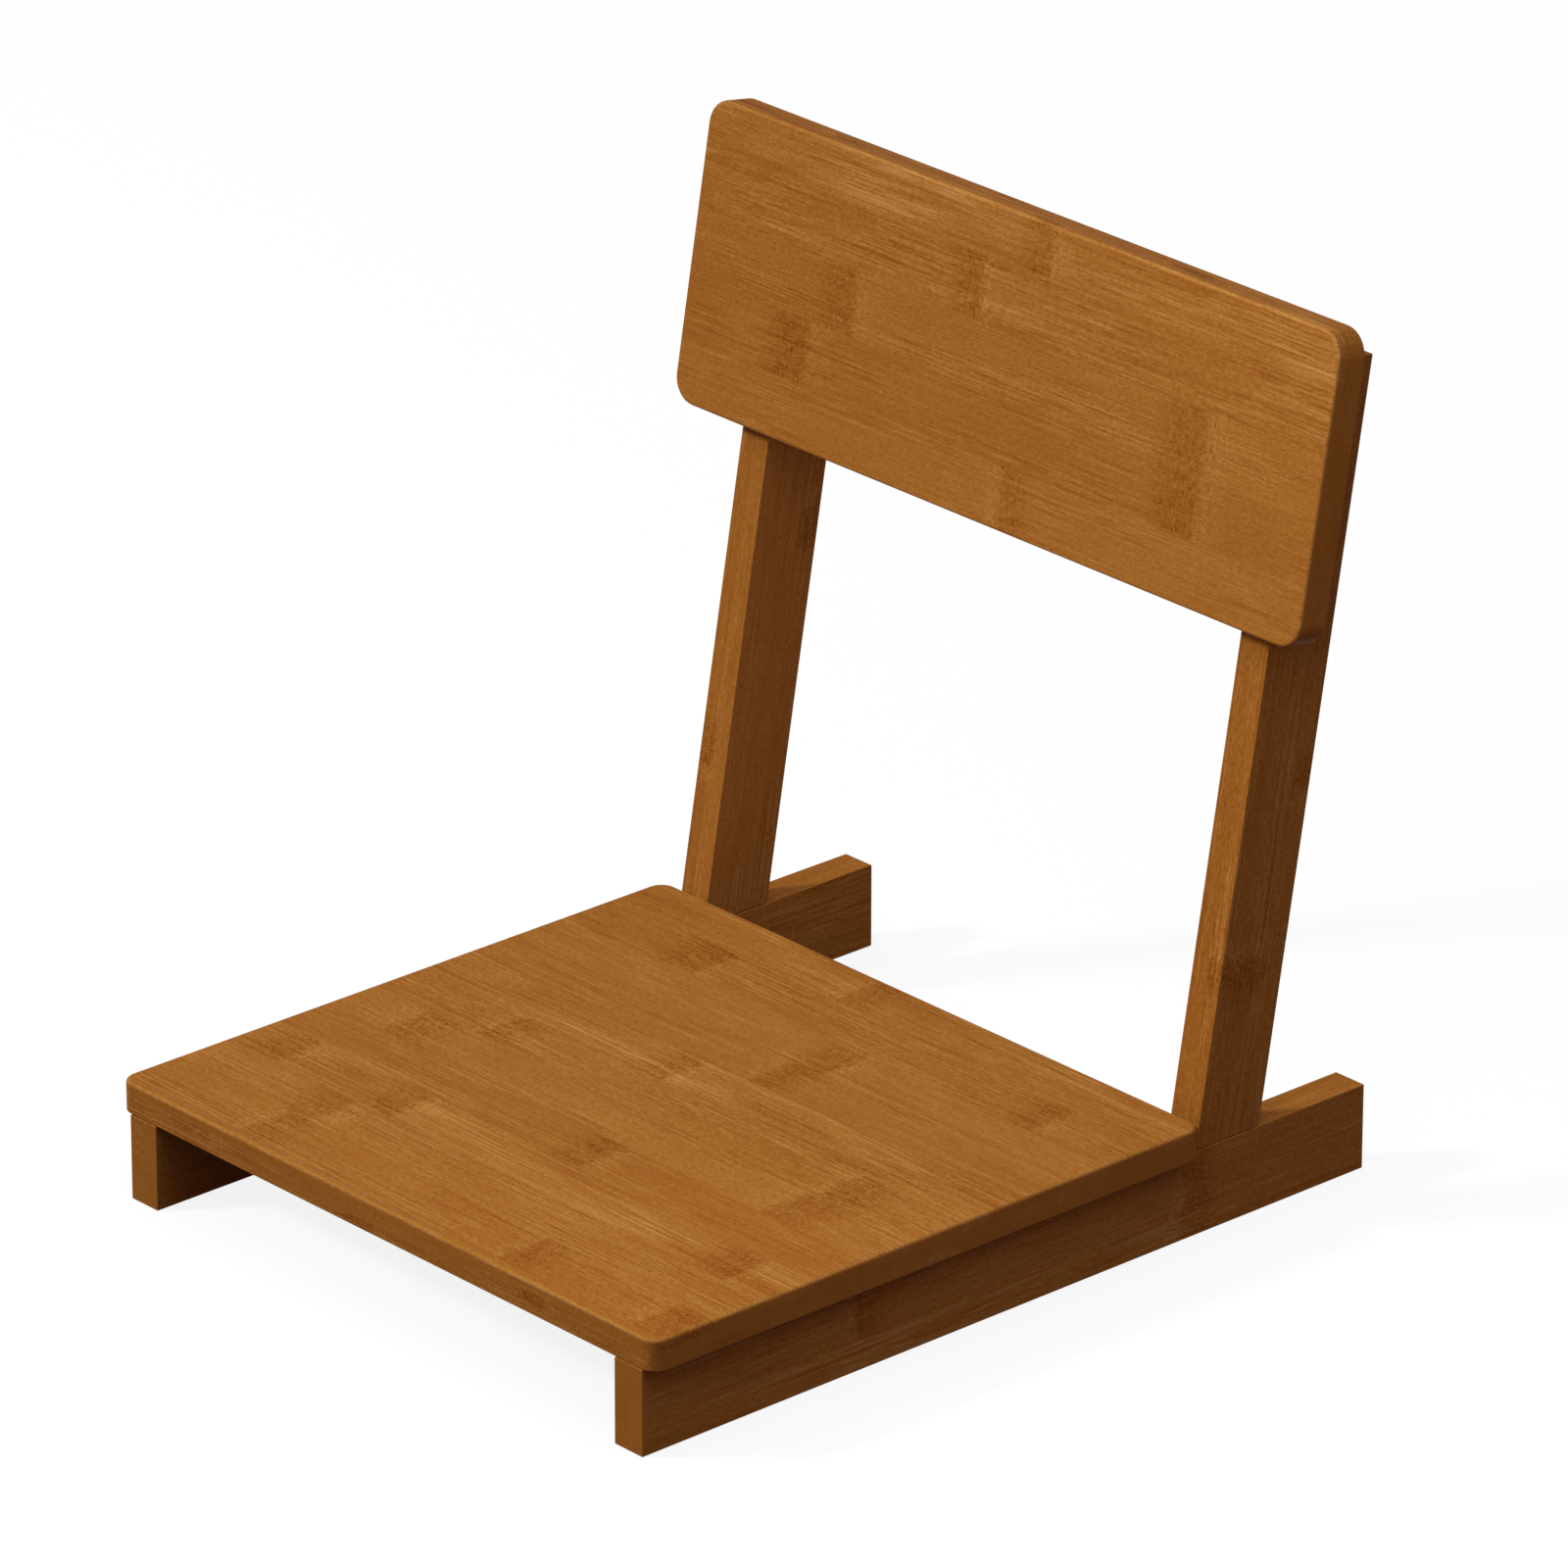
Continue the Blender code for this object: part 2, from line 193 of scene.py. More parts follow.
# The dowels' and the metal's finishes. Shares are those of the dark colour and of white at the outer stops.
WHITE = (1.0, 1.0, 1.0)
DOWEL_CELLS = (900.0, 900.0, 18.0)
DOWEL_TONE = 0.9
DOWEL_STOPS = (0.2, MIDDLE_TONE, 0.85)
DOWEL_SHARES = (0.4, 0.18)
DOWEL_ROUGHNESS = 0.62
DOWEL_FIBRE_ROUGHNESS = 0.2
DOWEL_GLOSS = 0.3
DOWEL_BUMP = (0.3, 0.0001)
CLOUD_CELLS = (160.0, 160.0, 160.0)
CLOUD_TONE = 1.2
CLOUD_ROUGHNESS = 0.25
SCRATCH_CELLS = (2600.0, 2600.0, 300.0)
SCRATCH_TONE = 0.4
SCRATCH_ROUGHNESS = 0.15
SCRATCH_BUMP = (0.15, 0.00005)
METAL_STOPS = (0.15, MIDDLE_TONE, 0.9)
METAL_SHARES = (0.55, 0.15)
ZINC_ROUGHNESS = 0.30
ZINC_PATINA = (0.36, 0.34, 0.27)
BRASS_ROUGHNESS = 0.33
BRASS_PATINA = (0.30, 0.17, 0.06)


# Reading the frame

def node_points(node):
    return np.array([vertex.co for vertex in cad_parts[node].data.vertices])


def middle(node):
    low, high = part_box(node)
    return (low + high) / 2


def radius_of(node):
    """Radius of a round node, whose widest points lie along X."""
    low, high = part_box(node)
    return (high.x - low.x) / 2


def reach(node, axis):
    """Lowest and highest place of a node along a direction."""
    places = node_points(node) @ np.array(axis)
    return float(places.min()), float(places.max())


def straight_box(node, turn):
    """Lowest and highest corner of a node in the frame that it stands straight in."""
    points = node_points(node) @ np.array(turn)
    return Vector(points.min(axis=0)), Vector(points.max(axis=0))


def set_axis(name):
    """Direction that a set's bolt points in, from its washer to its insert."""
    return (middle(name + "_insert") - middle(name + "_washer")).normalized()


def on_axis(node, axis, place):
    """Point of the middle line of a node that is even all round, at a place along a direction."""
    centre = middle(node)
    return centre + axis * (place - centre.dot(axis))


BACK_AXIS = set_axis(BACK_SETS[0])
LEVEL = Matrix.Identity(3)
LEANING = Matrix.Rotation(-math.atan2(BACK_AXIS.z, -BACK_AXIS.y), 3, "X")


# What a user would change

def length(name, description, default):
    return FloatProperty(name=name, description=description, default=default, min=0.0, unit="LENGTH",
                         precision=5)


def colour(name, description, default):
    return FloatVectorProperty(name=name, description=description, default=default, size=3, min=0.0, max=1.0,
                               subtype="COLOR")


def share(name, description, default, most=1.0):
    return FloatProperty(name=name, description=description, default=default, min=0.0, max=most,
                         subtype="FACTOR")


def angle(name, description, default):
    return FloatProperty(name=name, description=description, default=math.radians(default), subtype="ANGLE")


class WoodSizes(bpy.types.PropertyGroup):
    seat_corner: length("Seat corner", "Radius of the seat board's corners", 0.009)
    back_corner: length("Backrest corner", "Radius of the backrest board's corners", 0.014)
    board_edge: length("Board edge", "Radius of the boards' eased edges", 0.002)
    bar_edge: length("Bar edge", "Radius of the runners' and uprights' eased edges", 0.0005)
    foot_joint: length("Foot joint", "Height of the open joint line under the uprights", 0.0007)
    under_edge: share("Under edge", "How much of its front's easing a board has on its hidden side", 0.4)


class WoodLook(bpy.types.PropertyGroup):
    caramel: colour("Caramel", "Middle tone of the bamboo", (0.360, 0.141, 0.0215))
    dark_fibre: colour("Dark fibre", "Darkest lines and knuckles", (0.195, 0.046, 0.0027))
    pale_fibre: colour("Pale fibre", "Palest lines", (0.545, 0.275, 0.073))
    dowel: colour("Dowel", "Raw bamboo of the dowels", (0.55, 0.33, 0.14))
    contrast: share("Grain contrast", "How strongly the fibres show", 1.0, 3.0)
    knuckles: share("Knuckles", "How dark the knuckles are", 1.0, 3.0)
    roughness: share("Roughness", "Roughness of the satin lacquer", 0.48)
    gloss: share("Gloss", "Strength of the lacquer's reflection", 0.015)
    gloss_tint: colour("Gloss tint", "Tint of the lacquer's reflection", (1.0, 0.65, 0.55))


class HardwareSizes(bpy.types.PropertyGroup):
    bolt: length("Bolt", "Diameter of the bolts and screws", 0.006)
    bolt_pitch: length("Bolt pitch", "Pitch of the bolts' thread", 0.001)
    bolt_thread: length("Bolt thread", "Depth of the bolts' thread", 0.00055)
    plain_shank: length("Plain shank", "Length of the bolts' shank without thread", 0.014)
    screw_pitch: length("Screw pitch", "Pitch of the screws' thread", 0.0026)
    screw_thread: length("Screw thread", "Depth of the screws' thread", 0.0010)
    screw_tip: length("Screw tip", "Length of the screws' pointed tip", 0.006)
    insert_pitch: length("Insert pitch", "Pitch of the inserts' outer thread", 0.0024)
    insert_thread: length("Insert thread", "Depth of the inserts' outer thread", 0.0008)
    insert_slot: length("Insert slot", "Width of the inserts' driving slot", 0.0014)
    head_height: length("Head height", "Height of the bolts' and screws' heads", 0.006)
    socket_width: length("Socket width", "Width of the hexagon sockets across flats", 0.005)
    socket_depth: length("Socket depth", "Depth of the hexagon sockets", 0.003)
    knurl: length("Knurl", "Depth of the knurling round the heads", 0.00018)
    flute: length("Flute", "Depth of the dowels' flutes", 0.0004)
    chamfer: length("Chamfer", "Chamfer on tips and ends", 0.0008)


class HardwareLook(bpy.types.PropertyGroup):
    zinc: colour("Zinc", "Bright zinc plating", (0.62, 0.63, 0.65))
    brass: colour("Brass", "Turned brass of the inserts", (0.66, 0.48, 0.20))


class StageLook(bpy.types.PropertyGroup):
    floor: share("Floor", "How much of the light on the floor shows, and so how deep the shadow is", 0.16)
    bounce: share("Floor bounce", "How much light the floor throws back on the chair", 0.03)
    key: share("Key light", "Light from the main lamp on a surface that faces it", 0.57, 4.0)
    fill: share("Fill light", "Light from the near lamp on the backrest's right side", 0.31, 4.0)
    lamp_size: length("Lamp size", "Width of the lamps", 0.55)
    ambient: share("Ambient", "Soft light from overhead", 0.75)
    horizon: colour("Horizon", "Share and tint of the soft light that comes in from the sides",
                    (0.19, 0.0, 0.30))
    ceiling: share("Ceiling", "Brightness of the ceiling in reflections", 0.12)
    turn: angle("Camera turn", "How far round from the front the camera stands", 47.8612)
    tilt: angle("Camera tilt", "How far the camera looks down", 23.4331)
    roll: angle("Camera roll", "Turn of the picture", 0.1021)
    distance: length("Camera distance", "Distance from the point that the camera looks at", 5.5615)


class ChairSettings(bpy.types.PropertyGroup):
    wood_sizes: PointerProperty(type=WoodSizes)
    wood_look: PointerProperty(type=WoodLook)
    hardware_sizes: PointerProperty(type=HardwareSizes)
    hardware_look: PointerProperty(type=HardwareLook)
    stage: PointerProperty(type=StageLook)


# Node trees

class Nodes:
    """Adds nodes to a tree, and sets or links their inputs as it goes."""

    def __init__(self, tree):
        self.tree = tree

    def add(self, kind, inputs=None, **settings):
        node = self.tree.nodes.new(kind)
        for name, value in settings.items():
            setattr(node, name, value)
        for socket, value in (inputs or {}).items():
            self.feed(node.inputs[socket], value)
        return node

    def feed(self, socket, value):
        if isinstance(value, bpy.types.NodeSocket):
            self.tree.links.new(value, socket)
        else:
            socket.default_value = value

    def math(self, operation, *values):
        return self.add("ShaderNodeMath", dict(enumerate(values)), operation=operation).outputs[0]

    def plus(self, *values):
        total = values[0]
        for value in values[1:]:
            total = self.math("ADD", total, value)
        return total

    def minus(self, first, second):
        return self.math("SUBTRACT", first, second)

    def times(self, *values):
        product = values[0]
        for value in values[1:]:
            product = self.math("MULTIPLY", product, value)
        return product

    def over(self, first, second):
        return self.math("DIVIDE", first, second)

    def rise(self, value, start, end):
        """Goes smoothly from 0 at start to 1 at end."""
        inputs = {"Value": value, "From Min": start, "From Max": end}
        return self.add("ShaderNodeMapRange", inputs, interpolation_type="SMOOTHSTEP").outputs[0]

    def spread(self, value, low, high):
        """Takes a value between 0 and 1 to one between low and high."""
        return self.add("ShaderNodeMapRange", {"Value": value, "To Min": low, "To Max": high}).outputs[0]

    def split(self, vector):
        return self.add("ShaderNodeSeparateXYZ", {0: vector}).outputs[:]

    def join(self, x=0.0, y=0.0, z=0.0):
        return self.add("ShaderNodeCombineXYZ", {0: x, 1: y, 2: z}).outputs[0]

    def vector(self, operation, first, second):
        return self.add("ShaderNodeVectorMath", {0: first, 1: second}, operation=operation).outputs[0]

    def ramp(self, value, stops):
        node = self.add("ShaderNodeValToRGB", {0: value})
        stops = sorted(stops)
        elements = node.color_ramp.elements
        while len(elements) < len(stops):
            elements.new(1.0)
        for element, (place, tint) in zip(elements, stops):
            element.position = place
            element.color = (*tint, 1.0)
        return node.outputs[0]


class Finish(Nodes):
    """A material's nodes round one Principled shader."""

    def __init__(self, name):
        self.material = bpy.data.materials.new(name)
        self.material.use_nodes = True
        super().__init__(self.material.node_tree)
        self.shader = self.tree.nodes["Principled BSDF"]

    def set(self, **inputs):
        for name, value in inputs.items():
            self.feed(self.shader.inputs[name.replace("_", " ")], value)

    def attribute(self, name):
        return self.add("ShaderNodeAttribute", attribute_name=name).outputs["Vector"]

    def place(self):
        return self.add("ShaderNodeTexCoord").outputs["Object"]

    def noise(self, place, cells, detail=2.0, distortion=0.0):
        """Noise about one half, with so many cells a metre along each axis."""
        scaled = self.vector("MULTIPLY", place, cells)
        inputs = {"Vector": scaled, "Scale": 1.0, "Detail": detail, "Distortion": distortion}
        return self.add("ShaderNodeTexNoise", inputs).outputs[0]

    def swing(self, *noise, **settings):
        """The same noise about zero."""
        return self.minus(self.noise(*noise, **settings), 0.5)

    def draws(self, seed):
        """Three numbers between 0 and 1, drawn by a seed that is even over a face."""
        drawn = self.add("ShaderNodeTexWhiteNoise", {"W": seed}, noise_dimensions="1D")
        return self.split(drawn.outputs["Color"])

    def threads(self, *noise):
        """Thin lines where a noise crosses its middle."""
        return self.rise(self.math("ABSOLUTE", self.swing(*noise, detail=1.0)), THREAD_WIDTH, 0.0)

    def bump(self, height, strength, distance):
        inputs = {"Height": height, "Strength": strength, "Distance": distance}
        self.set(Normal=self.add("ShaderNodeBump", inputs).outputs[0])

    def three_tones(self, tone, tint, dark, stops, shares):
        """A colour that goes towards a dark one at low tones, and towards white at high ones."""
        colours = (between(tint, dark, shares[0]), tint, between(tint, WHITE, shares[1]))
        return self.ramp(tone, zip(stops, colours))


def between(first, second, part):
    """Colour between two others."""
    return tuple(a + (b - a) * part for a, b in zip(first, second))


def knuckle_marks(finish, along, across, through, seed, knuckles):
    """A strip's knuckles: their dark patches, the pale rims beside them, and how near they are."""
    heading = finish.math("SIGN", finish.minus(seed, 0.5))
    where = finish.join(finish.times(seed, SEED_REACH), across, through)
    waver = finish.times(finish.swing(where, KNUCKLE_WAVER, detail=3.0), KNUCKLE_WANDER)
    patches, rims, nearness = [], [], []
    for place in finish.split(knuckles):
        size = finish.spread(finish.draws(finish.plus(seed, place))[0], *KNUCKLE_SIZES)
        gone = finish.over(finish.plus(finish.times(finish.minus(along, place), heading), waver), size)
        before = finish.rise(gone, *KNUCKLE_SHARP_SIDE)
        patches.append(finish.times(finish.rise(gone, *KNUCKLE_SOFT_SIDE), before))
        rims.append(finish.times(finish.minus(1.0, before), finish.rise(gone, *KNUCKLE_RIM)))
        nearness.append(finish.rise(finish.math("ABSOLUTE", gone), KNUCKLE_REACH, 0.0))
    return finish.plus(*patches), finish.plus(*rims), finish.plus(*nearness)


def bamboo_finish(look):
    """Laminated bamboo under satin lacquer, laid along each strip by the piece's own attributes."""
    finish = Finish("caramel_bamboo")
    grain = finish.attribute("grain")
    along, across, through = finish.split(grain)
    seed, strip_middle, strip_half = finish.split(finish.attribute("strip"))
    worn_and_highlit_edge, end_grain, ply = finish.split(finish.attribute("surface"))
    tone_draw, line_draw, mark_draw = finish.draws(seed)
    patch, rim, near = knuckle_marks(finish, along, across, through, seed, finish.attribute("knuckles"))

    # Fibres, which swirl round the knuckles
    swirl = finish.times(finish.swing(grain, SWIRL_CELLS), near, SWIRL_REACH)
    strip_place = finish.join(finish.plus(along, finish.times(seed, SEED_REACH)), finish.plus(across, swirl),
                              finish.plus(through, finish.times(seed, SEED_REACH)))
    pores = finish.swing(strip_place, PORE_CELLS, detail=1.0)
    hairs = finish.swing(strip_place, HAIR_CELLS, detail=1.0)
    fibres = finish.swing(strip_place, FIBRE_CELLS, detail=1.0)
    shades = finish.swing(strip_place, SHADE_CELLS, detail=1.0)
    calm = finish.noise(strip_place, CALM_CELLS, detail=1.0)
    pale_threads = finish.times(finish.threads(strip_place, THREAD_CELLS), finish.rise(calm, *THREAD_FADE))
    dark_place = finish.vector("ADD", strip_place, (SEED_REACH,) * 3)
    dark_threads = finish.times(finish.threads(dark_place, THREAD_CELLS),
                                finish.rise(finish.minus(1.0, calm), *THREAD_FADE))
    threads = finish.minus(pale_threads, dark_threads)
    contrast = finish.times(finish.spread(line_draw, *STRIP_CONTRAST),
                            finish.spread(end_grain, 1.0, END_CONTRAST), look.contrast)
    liveliness = finish.spread(finish.rise(calm, *CALM_RANGE), *CALM_SHARE)
    lines = finish.plus(
        finish.times(hairs, liveliness, HAIR_TONE),
        finish.times(fibres, liveliness, FIBRE_TONE),
        finish.times(threads, finish.rise(mark_draw, *MARKED_STRIPS), THREAD_TONE),
    )

    # Specks in the knuckles, seams between strips, and eased edges lightened partly as wear and partly as a
    # painted highlight
    specks = finish.swing(grain, SPECK_CELLS, distortion=SPECK_TWIST)
    inset = finish.minus(strip_half, finish.math("ABSOLUTE", finish.minus(across, strip_middle)))
    seam = finish.rise(inset, SEAM_WIDTH, 0.0)
    tone = finish.plus(
        MIDDLE_TONE,
        finish.times(lines, contrast),
        finish.times(pores, contrast, PORE_TONE),
        finish.times(shades, SHADE_TONE),
        finish.times(finish.minus(tone_draw, 0.5), STRIP_TONE),
        finish.times(finish.minus(ply, 0.5), STRIP_TONE),
        finish.times(patch, PATCH_TONE * look.knuckles),
        finish.times(rim, RIM_TONE * look.knuckles),
        finish.times(specks, finish.plus(patch, rim), SPECK_TONE * look.knuckles),
        finish.times(seam, SEAM_TONE),
        # Painted highlight, partly wear: a lighter tone along the eased edges
        finish.times(worn_and_highlit_edge, EDGE_WEAR_AND_HIGHLIGHT_TONE),
        finish.times(end_grain, END_TONE),
    )
    caramel, dark, pale = look.caramel, look.dark_fibre, look.pale_fibre
    tint = finish.ramp(tone, [
        (DARK_STOP, dark),
        (BROWN_STOP, between(dark, caramel, BROWN_SHARE)),
        (MIDDLE_TONE, caramel),
        (HONEY_STOP, between(caramel, pale, HONEY_SHARE)),
        (PALE_STOP, pale),
    ])
    finish.set(
        Base_Color=tint,
        Roughness=finish.plus(look.roughness, finish.times(fibres, FIBRE_ROUGHNESS),
                              finish.times(end_grain, END_ROUGHNESS)),
        Specular_IOR_Level=look.gloss,
        Specular_Tint=(*look.gloss_tint, 1.0),
    )
    relief = finish.plus(lines, finish.times(seam, SEAM_RELIEF), finish.times(specks, patch, SPECK_RELIEF))
    finish.bump(relief, *GRAIN_BUMP)
    return finish.material


def dowel_finish(look):
    """Raw pale bamboo, with its fibres along the dowel."""
    finish = Finish("raw_bamboo_dowel")
    fibres = finish.swing(finish.place(), DOWEL_CELLS, detail=3.0)
    tone = finish.plus(MIDDLE_TONE, finish.times(fibres, DOWEL_TONE))
    finish.set(
        Base_Color=finish.three_tones(tone, look.dowel, look.dark_fibre, DOWEL_STOPS, DOWEL_SHARES),
        Roughness=finish.plus(DOWEL_ROUGHNESS, finish.times(fibres, DOWEL_FIBRE_ROUGHNESS)),
        Specular_IOR_Level=DOWEL_GLOSS,
    )
    finish.bump(fibres, *DOWEL_BUMP)
    return finish.material


def metal_finish(name, tint, roughness, patina):
    """Bare or plated metal with faint clouding and fine scratches."""
    finish = Finish(name)
    place = finish.place()
    clouds = finish.swing(place, CLOUD_CELLS, detail=3.0)
    scratches = finish.swing(place, SCRATCH_CELLS)
    tone = finish.plus(MIDDLE_TONE, finish.times(clouds, CLOUD_TONE), finish.times(scratches, SCRATCH_TONE))
    finish.set(
        Base_Color=finish.three_tones(tone, tint, patina, METAL_STOPS, METAL_SHARES),
        Metallic=1.0,
        Roughness=finish.plus(roughness, finish.times(clouds, CLOUD_ROUGHNESS),
                              finish.times(scratches, SCRATCH_ROUGHNESS)),
    )
    finish.bump(scratches, *SCRATCH_BUMP)
    return finish.material


def shared_material(name, make, *settings):
    """The material of that name, made when it is first asked for."""
    return bpy.data.materials.get(name) or make(*settings)


def bamboo(settings):
    return shared_material("caramel_bamboo", bamboo_finish, settings.wood_look)


def raw_bamboo(settings):
    return shared_material("raw_bamboo_dowel", dowel_finish, settings.wood_look)


def zinc(settings):
    return shared_material("bright_zinc", metal_finish, "bright_zinc", settings.hardware_look.zinc,
                           ZINC_ROUGHNESS, ZINC_PATINA)


def brass(settings):
    return shared_material("turned_brass", metal_finish, "turned_brass", settings.hardware_look.brass,
                           BRASS_ROUGHNESS, BRASS_PATINA)


# Plain meshes and pieces

def add_object(name, data):
    obj = bpy.data.objects.new(name, data)
    bpy.context.scene.collection.objects.link(obj)
    return obj


def mesh_from(form, name):
    mesh = bpy.data.meshes.new(name)
    form.to_mesh(mesh)
    form.free()
    return mesh


def finished_mesh(blank, name):
    """Replace an object by the plain mesh that its modifiers make."""
    bpy.context.view_layer.update()
    depsgraph = bpy.context.evaluated_depsgraph_get()
    mesh = bpy.data.meshes.new_from_object(blank.evaluated_get(depsgraph))
    mesh.name = name
    blank.modifiers.clear()
    bpy.data.objects.remove(blank, do_unlink=True)
    return mesh


def require_closed(mesh):
    form = bmesh.new()
    form.from_mesh(mesh)
    loose = sum(not edge.is_manifold for edge in form.edges)
    form.free()
    if loose:
        raise RuntimeError(f"{mesh.name} has {loose} open edges")


def add_piece(mesh, material, nodes):
    """Show a closed mesh as the piece that stands for its CAD nodes."""
    require_closed(mesh)
    mesh.materials.clear()
    mesh.materials.append(material)
    piece = add_object(mesh.name, mesh)
    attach(piece, BODY)
    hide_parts(*nodes)


# Boards and bars

def box_form(low, high):
    form = bmesh.new()
    bmesh.ops.create_cube(form, size=1.0)
    bmesh.ops.scale(form, vec=high - low, verts=form.verts)
    bmesh.ops.translate(form, vec=(low + high) / 2, verts=form.verts)
    return form


def drill(start, end, radius):
    """A round cutter from one point to another."""
    line = end - start
    form = bmesh.new()
    bmesh.ops.create_cone(form, cap_ends=True, segments=DRILL_SIDES, radius1=radius, radius2=radius,
                          depth=line.length)
    half_side = Matrix.Rotation(math.pi / DRILL_SIDES, 4, "Z")  # keeps corners off the seams between plies
    turn = UP.rotation_difference(line).to_matrix().to_4x4()
    place = Matrix.Translation((start + end) / 2) @ turn @ half_side
    bmesh.ops.transform(form, matrix=place, verts=form.verts)
    return mesh_from(form, "drill")


def bolt_hole(settings):
    """Radius of the hole that a bolt or a screw goes through."""
    return settings.hardware_sizes.bolt / 2 + FIT_GAP


def insert_pocket(name):
    """Drill for one set's insert in its board."""
    axis = set_axis(name)
    centre = on_axis(name + "_washer", axis, 0.0)
    low, high = reach(name + "_insert", axis)
    return drill(centre + axis * (low - CUT_MARGIN), centre + axis * (high + FIT_GAP),
                 radius_of(name + "_insert") + FIT_GAP)


def bolt_cuts(name, bar, hole):
    """Drills for one set's bolt in a bar: its hole, and the room for its head and washer."""
    axis = set_axis(name)
    centre = on_axis(name + "_washer", axis, 0.0)
    shoulder = reach(name + "_washer", axis)[1] + FIT_GAP
    end = reach(name + "_insert", axis)[1] + FIT_GAP
    back = reach(bar, axis)[0] - CUT_MARGIN
    room = radius_of(name + "_washer") + COUNTERBORE_ROOM
    return [
        drill(centre + axis * (shoulder - CUT_MARGIN), centre + axis * end, hole),
        drill(centre + axis * back, centre + axis * shoulder, room),
    ]


def foot_cuts(side, settings):
    """Drills for the dowels and the screw in one upright's foot."""
    cuts = []
    for node in DOWELS + SCREWS:
        if not node.startswith(side):
            continue
        centre = on_axis(node, UP, 0.0)
        low, high = reach(node, UP)
        if node in DOWELS:
            cuts.append(drill(centre + UP * (low - FIT_GAP), centre + UP * (high + FIT_GAP),
                              radius_of(node) + FIT_GAP))
            continue
        shoulder = low + settings.hardware_sizes.head_height + FIT_GAP
        cuts.append(drill(centre + UP * (shoulder - CUT_MARGIN), centre + UP * (high + FIT_GAP),
                          bolt_hole(settings)))
        cuts.append(drill(centre - UP * CUT_MARGIN, centre + UP * shoulder,
                          radius_of(node) + COUNTERBORE_ROOM))
    return cuts


def bar_cuts(side, bar, sets, settings):
    """Drills for all that goes into a runner or an upright: its joint's pieces and a board's bolts."""
    cuts = foot_cuts(side, settings)
    for name in sets:
        if name.startswith(side):
            cuts += bolt_cuts(name, bar, bolt_hole(settings))
    return cuts


class WoodPiece:
    """A board or bar, shaped and laid up in the frame that it stands straight in, then turned to its place.

    The grain's axes are the one that it runs along, the one that its strips lie across, and the one through
    its plies. The outer side is the last one's high side or its low one.
    """

    def __init__(self, node, turn, grain, outer_high, seed):
        self.node = node
        self.turn = turn
        self.along, self.across, self.through = grain
        self.outer_high = outer_high
        self.draw = random.Random(seed)
        self.low, self.high = straight_box(node, turn)
        self.mesh = None

    def shape(self, edge_radius, corner_radius=None, under_share=1.0, spare_foot=0.0):
        """Make the blank with eased edges. A board's corners are rounded, and a bar may have a spare foot."""
        low = self.low.copy()
        low[self.along] -= spare_foot
        form = box_form(low, self.high)
        if corner_radius:
            corners = [edge for edge in form.edges
                       if abs((edge.verts[1].co - edge.verts[0].co)[self.through]) > WELD_DISTANCE]
            bmesh.ops.bevel(form, geom=corners, offset=corner_radius, segments=CORNER_SEGMENTS,
                            profile=ROUND_PROFILE, affect="EDGES")
        weight = form.edges.layers.float.new("bevel_weight_edge")
        half_way = (self.low[self.through] + self.high[self.through]) / 2
        for edge in form.edges:
            if edge.calc_face_angle() > BEVEL_ANGLE:
                place = (edge.verts[0].co + edge.verts[1].co)[self.through] / 2
                edge[weight] = 1.0 if (place > half_way) == self.outer_high else under_share
        blank = add_object("blank", mesh_from(form, "blank"))
        bevel = blank.modifiers.new("eased_edges", "BEVEL")
        bevel.width = edge_radius
        bevel.segments = EDGE_SEGMENTS
        bevel.limit_method = "WEIGHT"
        self.mesh = finished_mesh(blank, self.node + "_blank")
        self.edge_radius = edge_radius
        self.is_board = corner_radius is not None

    def split_strips(self, layup):
        """Cut the mesh where its strips and plies meet, so that each has faces of its own."""
        width = self.high[self.across] - self.low[self.across]
        thickness = self.high[self.through] - self.low[self.through]
        self.layup = layup
        self.seams = list(np.arange(layup["first"], width - FIT_GAP, layup["width"]))
        self.ply = thickness / layup["plies"]
        form = bmesh.new()
        form.from_mesh(self.mesh)
        planes = [(self.across, self.high[self.across] - seam) for seam in self.seams]
        planes += [(self.through, self.low[self.through] + self.ply * layer)
                   for layer in range(1, layup["plies"])]
        for axis, place in planes:
            spot = Vector((0.0, 0.0, 0.0))
            spot[axis] = place
            normal = Vector((0.0, 0.0, 0.0))
            normal[axis] = 1.0
            everything = form.verts[:] + form.edges[:] + form.faces[:]
            bmesh.ops.bisect_plane(form, geom=everything, dist=WELD_DISTANCE, plane_co=spot, plane_no=normal)
        form.to_mesh(self.mesh)
        form.free()

    def cut(self, cutters):
        """Take meshes that stand in the chair's own frame out of the piece."""
        blank = add_object("blank", self.mesh)
        straighten = self.turn.transposed().to_4x4()
        tools = []
        for cutter in cutters:
            tool = add_object("cutter", cutter)
            tool.data.transform(straighten)
            tools.append(tool)
            boolean = blank.modifiers.new("cut", "BOOLEAN")
            boolean.operation = "DIFFERENCE"
            boolean.solver = "EXACT"
            boolean.object = tool
        self.mesh = finished_mesh(blank, self.node + "_cut")
        for tool in tools:
            bpy.data.objects.remove(tool, do_unlink=True)

    def strip_knuckles(self, row, layer):
        """Places of a strip's knuckles. Inner plies have another strip's, counted from the other end."""
        rows = self.layup["knuckles"]
        places = rows[(row + 2 * layer) % len(rows)]
        if layer:
            grain_length = self.high[self.along] - self.low[self.along]
            places = [grain_length - place for place in places]
        return (list(places) + [NO_KNUCKLE] * KNUCKLES_A_STRIP)[:KNUCKLES_A_STRIP]

    def lay_grain(self):
        """Give the mesh what its finish reads: the place in the grain, and each face's strip and edge."""
        mesh = self.mesh
        points = np.array([vertex.co for vertex in mesh.vertices])
        centres = np.array([face.center for face in mesh.polygons])
        normals = np.array([face.normal for face in mesh.polygons])
        low = np.array(self.low)
        high = np.array(self.high)

        def depth(places):
            """Depth through the plies, from the outer side."""
            if self.outer_high:
                return high[self.through] - places[:, self.through]
            return places[:, self.through] - low[self.through]

